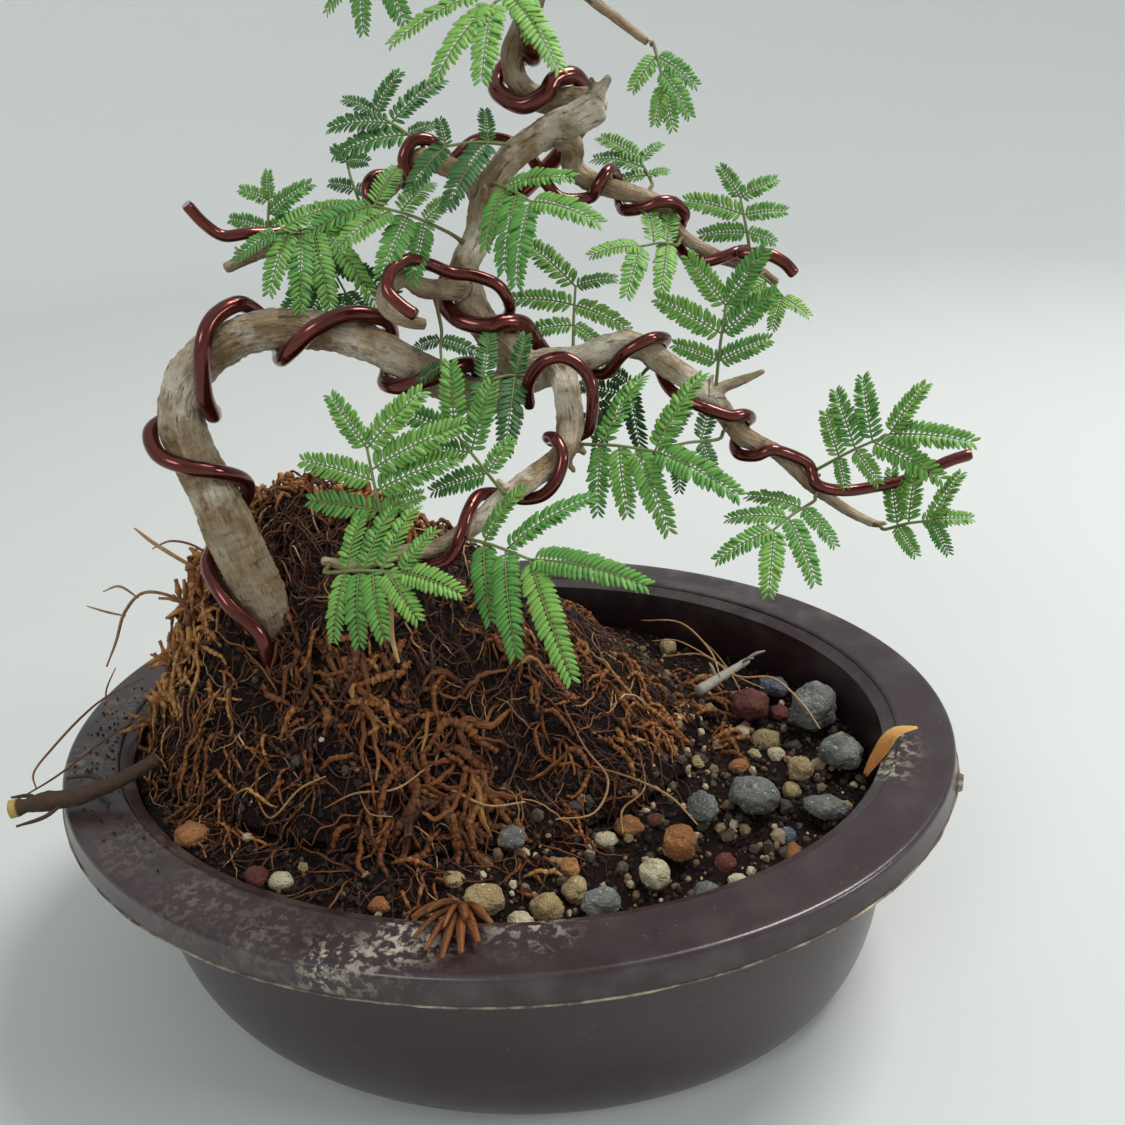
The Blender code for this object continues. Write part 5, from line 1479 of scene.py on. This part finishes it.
def make_wire(node, route, radius):
    """A smooth round wire whose cut ends are bright and slightly pinched."""
    line = spline(route, 7)
    radii = np.full(len(line), radius)
    radii[[0, -1]] = radius * 0.82
    gather = Gather()
    tube(gather, line, radii, 18, 0.5, end_finish=1)
    finishes = [FINISHES["wire"], FINISHES["cut"]]
    gathered_piece(f"{node}_metal", gather, finishes, [node], flat_angle=55)


# ---------------------------------------------------------------- leaves
# leaf tones: the light one is painted light for leaves that stand in the light, the dark one painted shade
# for leaves that stand in shade, the yellow one a yellowing leaf
LIT_LEAF, SHADED_LEAF, YELLOW = 0.58, 0.20, 0.82
# node: base and tip of the leaf's stalk, its tone (painted light, painted shade or yellow), then the tips of
# its feathers, all in mm
LEAVES = {
    "leaf_top": (
        (20.5, 5.5, 235), (23, 3, 244), LIT_LEAF,
        [(12, 2, 240), (13, 0, 246), (21, -2, 251), (31, 0, 248), (33, 2, 241)],
    ),
    "leaf_top_front": (
        (19.5, 6, 217), (15, -6, 213), LIT_LEAF,
        [(-2, -12, 208), (7, -18, 202), (15, -19, 201), (27, -13, 202), (22, -9, 207)],
    ),
    "leaf_top_left": (
        (-5, 5, 227), (-11, 2, 221), LIT_LEAF,
        [(-18, 0, 215), (-11, -2, 211), (-3, -2, 212), (-18, 1, 220), (-3, 0, 219)],
    ),
    "leaf_top_right": (
        (41.5, 6.5, 205), (43.5, 3, 198), LIT_LEAF,
        [(38, 2, 198), (42, 1, 192), (48, 3, 193), (49, 5, 198), (45, 2, 191)],
    ),
    "leaf_dark_fan": (
        (-6, 9.5, 190.5), (-16, 12, 197), SHADED_LEAF,
        [(-3, 17, 202), (-24, 8, 190), (-25, 10, 195), (-22, 12, 200), (-11, 15, 204), (-4, 12, 194)],
    ),
    "leaf_dark_left": (
        (-23, 14.5, 180), (-26, 18, 188), SHADED_LEAF,
        [(-30, 17, 184), (-28, 17, 191), (-18, 15, 182), (-20, 14, 188)],
    ),
    "leaf_left_tip": (
        (-44.5, 13, 172.5), (-44, 15, 181.5), LIT_LEAF,
        [(-53, 14, 178), (-50, 15, 184), (-35, 17, 184), (-37, 16, 178), (-43, 15, 187)],
    ),
    "leaf_hanging_front": (
        (-25, 8, 175), (-35, -2, 176.5), LIT_LEAF,
        [
            (-30, -8, 162), (-25, -5, 161), (-18, 2, 161), (-24, 12, 180), (-20, 13, 178), (-43, -6, 172),
            (-36, -8, 166),
        ],
    ),
    "leaf_hanging_back": (
        (-33, 13.5, 172.5), (-31, 18, 161), SHADED_LEAF,
        [(-48, 18, 154), (-43, 20, 153), (-34, 20, 152), (-26, 21, 153), (-20, 20, 160)],
    ),
    "leaf_trunk_left": (
        (1, -4.5, 175.5), (-9, -14, 181.5), LIT_LEAF,
        [
            (-2, -1, 184), (2, -2, 181), (-7, -5, 187), (-7, -20, 170), (-3, -15, 168), (-13, -22, 176),
            (-20, -19, 178),
        ],
    ),
    "leaf_pale_left": (
        (13, 2.5, 190), (3, -4, 190.5), SHADED_LEAF,
        [(5, -13, 181), (-2, -12, 184), (2, -3, 195), (9, 4, 196)],
    ),
    "leaf_trunk_front": (
        (11, -0.5, 183), (20, -11, 180.5), LIT_LEAF,
        [(27, -8, 184), (33, -17, 177), (19, -23, 168), (16, -19, 170), (11, -12, 173)],
    ),
    "leaf_middle_back": (
        (23.5, 3.5, 151), (23, 13, 161), LIT_LEAF,
        [(11, 19, 170), (9, 11, 159), (13, 5, 153), (31, 15, 162), (34, 8, 153), (29, 5, 150)],
    ),
    "leaf_upper_back": (
        (39, 21, 180), (36, 27, 184), LIT_LEAF,
        [(27, 34, 189), (26, 30, 185), (30, 24, 180), (40, 30, 187), (42, 23, 182)],
    ),
    "leaf_upper_down": (
        (44.5, 13.5, 168.5), (38, 6, 169.5), LIT_LEAF,
        [(29, 1, 169), (36, -3, 162), (42, 3, 161), (38, 16, 177), (43, 18, 175)],
    ),
    "leaf_upper_end": (
        (59, 22.5, 166), (57, 24.5, 176), LIT_LEAF,
        [(53, 25, 182), (46, 24, 176), (49, 23, 169), (64, 26, 179), (66, 24, 173), (64, 23, 167)],
    ),
    "leaf_upper_yellow": (
        (61.5, 17, 161), (66, 12, 157.5), YELLOW,
        [(55, 13, 155), (60, 11, 153), (64, 9, 152), (71, 11, 154)],
    ),
    "leaf_right_up": (
        (53, 0, 143), (55, -3, 159), LIT_LEAF,
        [(42, 0, 160), (45, 0, 151), (64, -3, 161), (63, -2, 152), (48, -2, 168), (62, -4, 169)],
    ),
    "leaf_far_up": (
        (74, 1, 124.5), (87, -3, 133), LIT_LEAF,
        [
            (75, 5, 135), (77, 6, 139), (82, 5, 142), (93, -1, 142), (79, -3, 122), (85, -6, 124),
            (96, -9, 126), (101, -8, 133),
        ],
    ),
    "leaf_far_end": (
        (88, 2, 110.5), (96, -5, 115.5), LIT_LEAF,
        [(89, 6, 122), (94, 5, 125), (101, -2, 124), (93, -7, 109), (99, -8, 110), (103, -5, 116)],
    ),
    "leaf_far_down": (
        (73, 0, 117.5), (65, -9, 115), LIT_LEAF,
        [(60, -1, 119), (56, -6, 116), (54, -13, 110), (64, -18, 105), (73, -14, 106), (77, -7, 111)],
    ),
    "leaf_front_big": (
        (28, -17, 136), (43, -26, 137.5), LIT_LEAF,
        [(39, -11, 147), (51, -18, 149), (32, -27, 126), (38, -30, 127), (46, -35, 126), (58, -36, 133)],
    ),
    "leaf_under_long": (
        (53.5, -4, 132.5), (42, -10, 132.5), SHADED_LEAF,
        [(40, -12, 125), (46, -10, 124), (53, -8, 125), (48, -1, 141), (52, 0, 139)],
    ),
    "leaf_inner_right": (
        (37, 4.5, 143.5), (31, 7, 137), SHADED_LEAF,
        [(23, 9, 132), (26, 8, 124), (37, 5, 126), (29, 9, 145), (23, 11, 140)],
    ),
    "leaf_low_left": (
        (-5, -41, 126), (-8, -37, 142), LIT_LEAF,
        [
            (-14, -35, 151), (-20, -38, 140), (-19, -40, 133), (2, -33, 151), (9, -33, 145),
            (7, -34, 139), (1, -37, 133),
        ],
    ),
    "leaf_low_end": (
        (-15, -47.5, 122), (2, -54, 125.5), LIT_LEAF,
        [
            (-3, -42, 132), (2, -44, 133), (7, -49, 131), (-9, -41, 131), (-11, -57, 114), (-5, -60, 115),
            (0, -61, 117), (6, -60, 120), (13, -58, 124),
        ],
    ),
    "leaf_middle_left": (
        (15, -32, 132), (7, -31, 143), LIT_LEAF,
        [(14, -29, 151), (7, -29, 155), (2, -32, 132), (0, -31, 140), (-4, -30, 147), (17, -30, 141)],
    ),
    "leaf_junction": (
        (16, -8, 147.5), (9, -16, 148.5), SHADED_LEAF,
        [(9, -8, 156), (16, -7, 155), (14, -23, 137), (8, -23, 142)],
    ),
    "leaf_low_front": (
        (9, -37, 124.5), (23.5, -49, 126), LIT_LEAF,
        [(20, -37, 134), (33, -41, 134), (17, -54, 117), (23, -62, 115), (33, -67, 114), (44, -58, 126)],
    ),
    "leaf_small_hook": (
        (-0.5, -9, 157), (0, -13, 151), SHADED_LEAF,
        [(-6, -10, 154), (-5, -13, 148), (4, -12, 147), (6, -10, 153)],
    ),
}
LEAF_LIGHT_FROM = unit(np.array((-0.05, -0.55, 0.83)))  # the side that the leaves turn to the light
STALK_RADIUS = 0.42
LEAFLET_LONGEST = 3.2
LEAFLET_PITCH = 0.285  # between leaflets, as a share of their length
LEAFLET_WIDTH = 0.345


def leaflet_shape():
    """A leaflet 1 long and 1 wide, pointed at both ends: rings of left edge, top, right edge, underside."""
    corners = [(0.0, 0.0, 0.0)]
    for u, half, rise in ((0.10, 0.30, 0.0), (0.38, 0.50, 0.03), (0.72, 0.46, 0.0), (0.92, 0.26, -0.04)):
        corners += [(u, half, rise + 0.05), (u, 0.0, rise + 0.02)]
        corners += [(u, -half, rise + 0.05), (u, 0.0, rise - 0.03)]
    corners.append((1.0, 0.0, -0.07))
    faces = []
    for k in range(4):
        n = (k + 1) % 4
        faces.append((0, 1 + n, 1 + k))
        faces.append((17, 13 + k, 13 + n))
        for ring in range(3):
            a = 1 + 4 * ring
            faces.append((a + k, a + n, a + 4 + n, a + 4 + k))
    return np.array(corners), faces


LEAFLET_CORNERS, LEAFLET_FACES = leaflet_shape()


def add_leaflet(gather, foot, out, up, length, tone):
    across = unit(np.cross(up, out))
    above = np.cross(out, across)
    corners = (
        foot
        + LEAFLET_CORNERS[:, :1] * out * length
        + LEAFLET_CORNERS[:, 1:2] * across * length * LEAFLET_WIDTH
        + LEAFLET_CORNERS[:, 2:] * above * length
    )
    gather.add(corners, LEAFLET_FACES, tone)


def on_rib(line, share):
    """The point at a share of a rib's length, where 0 is its root and 1 its tip."""
    shares = np.linspace(0, 1, len(line))
    return np.array([np.interp(min(max(share, 0.0), 1.0), shares, line[:, axis]) for axis in range(3)])


def add_feather(gather, draw, root, tip, facing, tone):
    """One pinna: a thin rib with a row of leaflets down each side."""
    length = np.linalg.norm(tip - root)
    middle = (root + tip) / 2 + facing * 0.10 * length + UP * 0.04 * length
    u = np.linspace(0, 1, 14)[:, None]
    line = root * (1 - u) ** 2 + middle * 2 * u * (1 - u) + tip * u**2
    tube(gather, line, np.linspace(0.22, 0.09, len(line)), 5, 0.45, finish=1)
    longest = min(LEAFLET_LONGEST, 0.15 * length + 1.0)
    count = max(5, round(length * 0.93 / (longest * LEAFLET_PITCH)))
    for i in range(count):
        share = 0.06 + 0.94 * i / (count - 1)
        place = on_rib(line, share)
        ahead = unit(on_rib(line, share + 0.05) - on_rib(line, share - 0.05))
        up = unit(facing - ahead * facing.dot(ahead))
        side = np.cross(up, ahead)
        size = longest * (0.62 + 0.38 * math.sin(math.pi * min(1.0, 0.14 + share * 0.86)) ** 0.7)
        lean = math.radians(64 - 26 * share**2)
        for way in (1, -1):
            angle = lean + math.radians(draw.uniform(-5, 5))
            rise = up * draw.uniform(-0.06, 0.14)
            out = unit(ahead * math.cos(angle) + side * way * math.sin(angle) + rise)
            facet = unit(up + side * way * draw.uniform(-0.20, 0.05) + ahead * 0.16)
            own_size, own_tone = size * draw.uniform(0.93, 1.05), tone + draw.uniform(-0.07, 0.07)
            add_leaflet(gather, place + side * way * 0.08, out, facet, own_size, own_tone)


def make_leaf(node, base, tip, tone, tips):
    draw = random.Random(sum(map(ord, node)))
    base, tip = np.array(base, float), np.array(tip, float)
    centre, radius = nearest_wood(base)[:2]
    away = base - centre
    start = centre + unit(away) * radius * 0.6 if np.linalg.norm(away) < radius + 9 else base
    ahead = unit(tip - base)
    tips = [np.array(t, float) for t in tips]
    normal = np.linalg.svd(np.vstack([*tips, base]) - np.mean([*tips, base], axis=0))[2][2]
    normal = normal * (1 if normal.dot(LEAF_LIGHT_FROM) > 0 else -1)
    facing = unit(normal * 0.45 + LEAF_LIGHT_FROM * 0.8)
    facing = unit(facing - ahead * facing.dot(ahead) * 0.6)
    gather = Gather()
    stalk = spline([start, (start + base) / 2 + UP * 0.2, base, (base + tip) / 2 + facing * 0.7, tip], 5)
    radii = np.interp(np.linspace(0, 1, len(stalk)), (0, 0.08, 0.2, 1), (1.7, 1.5, 1.0, 0.62)) * STALK_RADIUS
    tube(gather, stalk, radii, 7, np.linspace(0.05, 0.55, len(stalk)), finish=1)
    side = np.cross(facing, ahead)
    for way in (1, -1):
        row = sorted((t for t in tips if (t - tip).dot(side) * way > 0), key=lambda t: (t - base).dot(ahead))
        for i, feather_tip in enumerate(row):
            share = 1.0 if len(row) == 1 else 0.30 + 0.70 * i / (len(row) - 1)
            root = base + (tip - base) * share + facing * 0.7 * math.sin(math.pi * share) * 0.7
            add_feather(gather, draw, root, feather_tip, facing, tone + draw.uniform(-0.12, 0.14))
    gathered_piece(f"{node}_feathers", gather, [FINISHES["leaf"], FINISHES["stalk"]], [node])


# ---------------------------------------------------------------- loose things on the rim and the soil
def make_dead_root():
    """A dark dead root that lies over the left of the rim, with a few side roots and a pale cut end."""
    gather = Gather()
    route = [(-67, -40, 72), (-74, -44, 69), (-82, -48, 67.2), (-89, -50.5, 67), (-95, -53, 66.6)]
    line = spline(route, 10)
    wobble = np.array([1 + 0.22 * lumps(p, 2.4, 3) for p in line])
    tones = np.full(len(line), 0.35)
    tones[-3:] = 0.95
    tube(gather, line, spread([1.5, 1.8, 2.0, 2.1, 1.9], 10) * wobble, 12, tones)
    for side_route in (
        [(-78, -46, 68.5), (-81, -42, 67), (-85, -40, 66.4), (-90, -41, 66)],
        [(-84, -49, 67), (-86, -54, 66.2), (-91, -57, 65.6)],
        [(-89, -51, 66.8), (-93, -49, 67.2), (-98, -49, 66.4)],
    ):
        side = spline(side_route, 6)
        tube(gather, side, 0.5 * taper(len(side), 0.3), 6, 0.35)
    gathered_piece("dead_root_bark", gather, [FINISHES["dead_root"]], ["root_over_rim"])


# side shoots of the grey twig: foot and tip
TWIG_ENDS = (
    ((59, 31, 60.5), (64, 33.5, 62)), ((58, 29, 60.5), (61, 27, 63.5)), ((52, 19, 62), (50, 23, 64)),
)


def make_grey_twig():
    gather = Gather()
    line = spline([(48, 12, 62.5), (53.5, 21, 61.5), (59.5, 31.5, 60)], 14)
    wobble = np.array([1 + 0.14 * lumps(p, 2.0, 3) for p in line])
    tube(gather, line, spread([1.3, 1.2, 0.9], 14) * wobble, 12, 0.5)
    for foot, tip in TWIG_ENDS:
        branch = spline([foot, (np.array(foot) + tip) / 2 + UP * 0.5, tip], 5)
        tube(gather, branch, 0.45 * taper(len(branch), 0.35), 6, 0.4)
    gathered_piece("twig_wood", gather, [FINISHES["grey_wood"]], ["grey_twig"])


def make_dry_leaf():
    """A narrow curled dead leaf that leans over the right of the rim."""
    line = spline([(86, -11.5, 57), (89.3, -9.5, 61.5), (92.2, -7.5, 65.3), (97, -5, 66)], 9)
    ahead = np.gradient(line, axis=0)
    rows, tones, faces = [], [], []
    for i, (point, way) in enumerate(zip(line, ahead)):
        share = i / (len(line) - 1)
        half = 1.7 * math.sin(math.pi * min(0.97, 0.08 + 0.9 * share)) ** 0.8
        side = unit(np.cross(way, UP))
        curl = unit(np.cross(side, way))
        for across in (-1, -0.5, 0, 0.5, 1):
            lift = 0.75 * half * abs(across) ** 1.5 + 0.1 * lumps(point + across, 1.5, 2)
            rows.append(point + side * half * across + curl * lift)
            tones.append(0.3 + 0.5 * share + 0.15 * abs(across))
    count = len(line)
    for i in range(count - 1):
        faces += [(5 * i + k, 5 * i + k + 1, 5 * i + k + 6, 5 * i + k + 5) for k in range(4)]
    leaf = piece("dry_leaf_blade", rows, faces, [FINISHES["dry_leaf"]], ["dry_leaf"], tones=tones)
    skin = leaf.modifiers.new("thickness", "SOLIDIFY")
    skin.thickness = 0.22 * MM


# ---------------------------------------------------------------- stage, camera and light
CAMERA_PLACE = (0.0619, -0.2003, 0.1965)
CAMERA_AZIMUTH = 12.2
CAMERA_ELEVATION = 24.64
CAMERA_ROLL = -4.22
CAMERA_LENS = 32.0


def make_camera():
    camera = bpy.data.objects.new("camera", bpy.data.cameras.new("camera"))
    bpy.context.scene.collection.objects.link(camera)
    camera.data.lens = CAMERA_LENS
    camera.data.sensor_width = 36.0
    camera.data.clip_start = 0.005
    azimuth, elevation = math.radians(CAMERA_AZIMUTH), math.radians(CAMERA_ELEVATION)
    camera.location = CAMERA_PLACE
    camera.rotation_mode = "QUATERNION"
    level = math.cos(elevation)
    back = Vector((math.sin(azimuth) * level, -math.cos(azimuth) * level, math.sin(elevation)))
    roll = Quaternion((0.0, 0.0, 1.0), math.radians(CAMERA_ROLL))
    camera.rotation_quaternion = (-back).to_track_quat("-Z", "Y") @ roll
    return camera


def add_light(name, place, target, size, energy, colour):
    light = bpy.data.objects.new(name, bpy.data.lights.new(name, "AREA"))
    light.data.shape = "DISK"
    light.data.size = size
    light.data.energy = energy
    light.data.color = colour
    light.location = place
    light.rotation_mode = "QUATERNION"
    light.rotation_quaternion = (Vector(target) - Vector(place)).to_track_quat("-Z", "Y")
    bpy.context.scene.collection.objects.link(light)


def make_stage():
    """A seamless pale sweep all round the object, painted paler farther out, and soft light from above."""
    sides, profile = 96, [(0.02, 0.0), (0.25, 0.0), (0.6, 0.0), (1.2, 0.0)]
    for i in range(1, 9):
        turn = math.radians(90 * i / 8)
        profile.append((1.2 + 0.8 * math.sin(turn), 0.8 - 0.8 * math.cos(turn)))
    profile.append((2.0, 2.4))
    turns = math.tau * np.arange(sides) / sides
    corners = [(r * math.cos(a), r * math.sin(a), z) for r, z in profile for a in turns]
    floor, _, *walls = ring_faces(len(profile), sides)
    faces = [floor, *walls]
    mesh = bpy.data.meshes.new("backdrop")
    mesh.from_pydata(corners, [], faces)
    mesh.shade_smooth()
    # The paper is painted paler away from the object: painted light that evens out the sweep's brightness.
    painted_far_light = np.repeat([min(1.0, max(0.0, (r - 0.25) / 1.2)) for r, _ in profile], sides)
    mesh.attributes.new("tone", "FLOAT", "POINT").data.foreach_set("value", painted_far_light.astype(np.float32))
    paper = Finish("backdrop paper", 0.95)
    paper.colour(paper.mix(paper.attribute("tone"), (0.545, 0.560, 0.550), (0.80, 0.815, 0.80)))
    mesh.materials.append(paper.material)
    backdrop = bpy.data.objects.new("backdrop", mesh)
    bpy.context.scene.collection.objects.link(backdrop)
    world = bpy.data.worlds.new("studio")
    bpy.context.scene.world = world
    world.use_nodes = True
    world.node_tree.nodes["Background"].inputs["Color"].default_value = (0.86, 0.90, 0.92, 1.0)
    world.node_tree.nodes["Background"].inputs["Strength"].default_value = 0.71
    add_light("soft_key", (0.45, 0.25, 1.0), (0.0, 0.0, 0.1), 0.40, 9.0, (1.0, 0.98, 0.95))
    add_light("front_fill", (-0.4, -1.0, 0.9), (0.0, 0.0, 0.12), 0.5, 4.0, (0.95, 0.98, 1.0))
    add_light("side_window", (1.05, -0.15, 0.55), (0.0, 0.0, 0.08), 0.25, 3.0, (1.0, 1.0, 1.0))
    bpy.context.scene.view_settings.view_transform = "Standard"


def main():
    bpy.context.scene.camera = make_camera()
    make_stage()
    make_pot()
    make_mould_line()
    soil = make_soil()
    mound = make_mound()
    ground = ground_under(soil, mound)
    peak = mound[0][np.argmax(mound[0][:, 2])]
    make_fine_roots(ground, peak)
    for name, clump in MOSS.items():
        make_moss(ground, name, *clump)
    make_tufts(ground)
    make_stray_roots(ground)
    make_crumbs(ground)
    for node, slot in STONE_SLOTS.items():
        make_stone(node, slot)
    make_pebbles(ground)
    make_tree()
    for node, (route, radius) in wire_routes().items():
        make_wire(node, route, radius)
    for node, leaf in LEAVES.items():
        make_leaf(node, *leaf)
    make_dead_root()
    make_grey_twig()
    make_dry_leaf()


main()
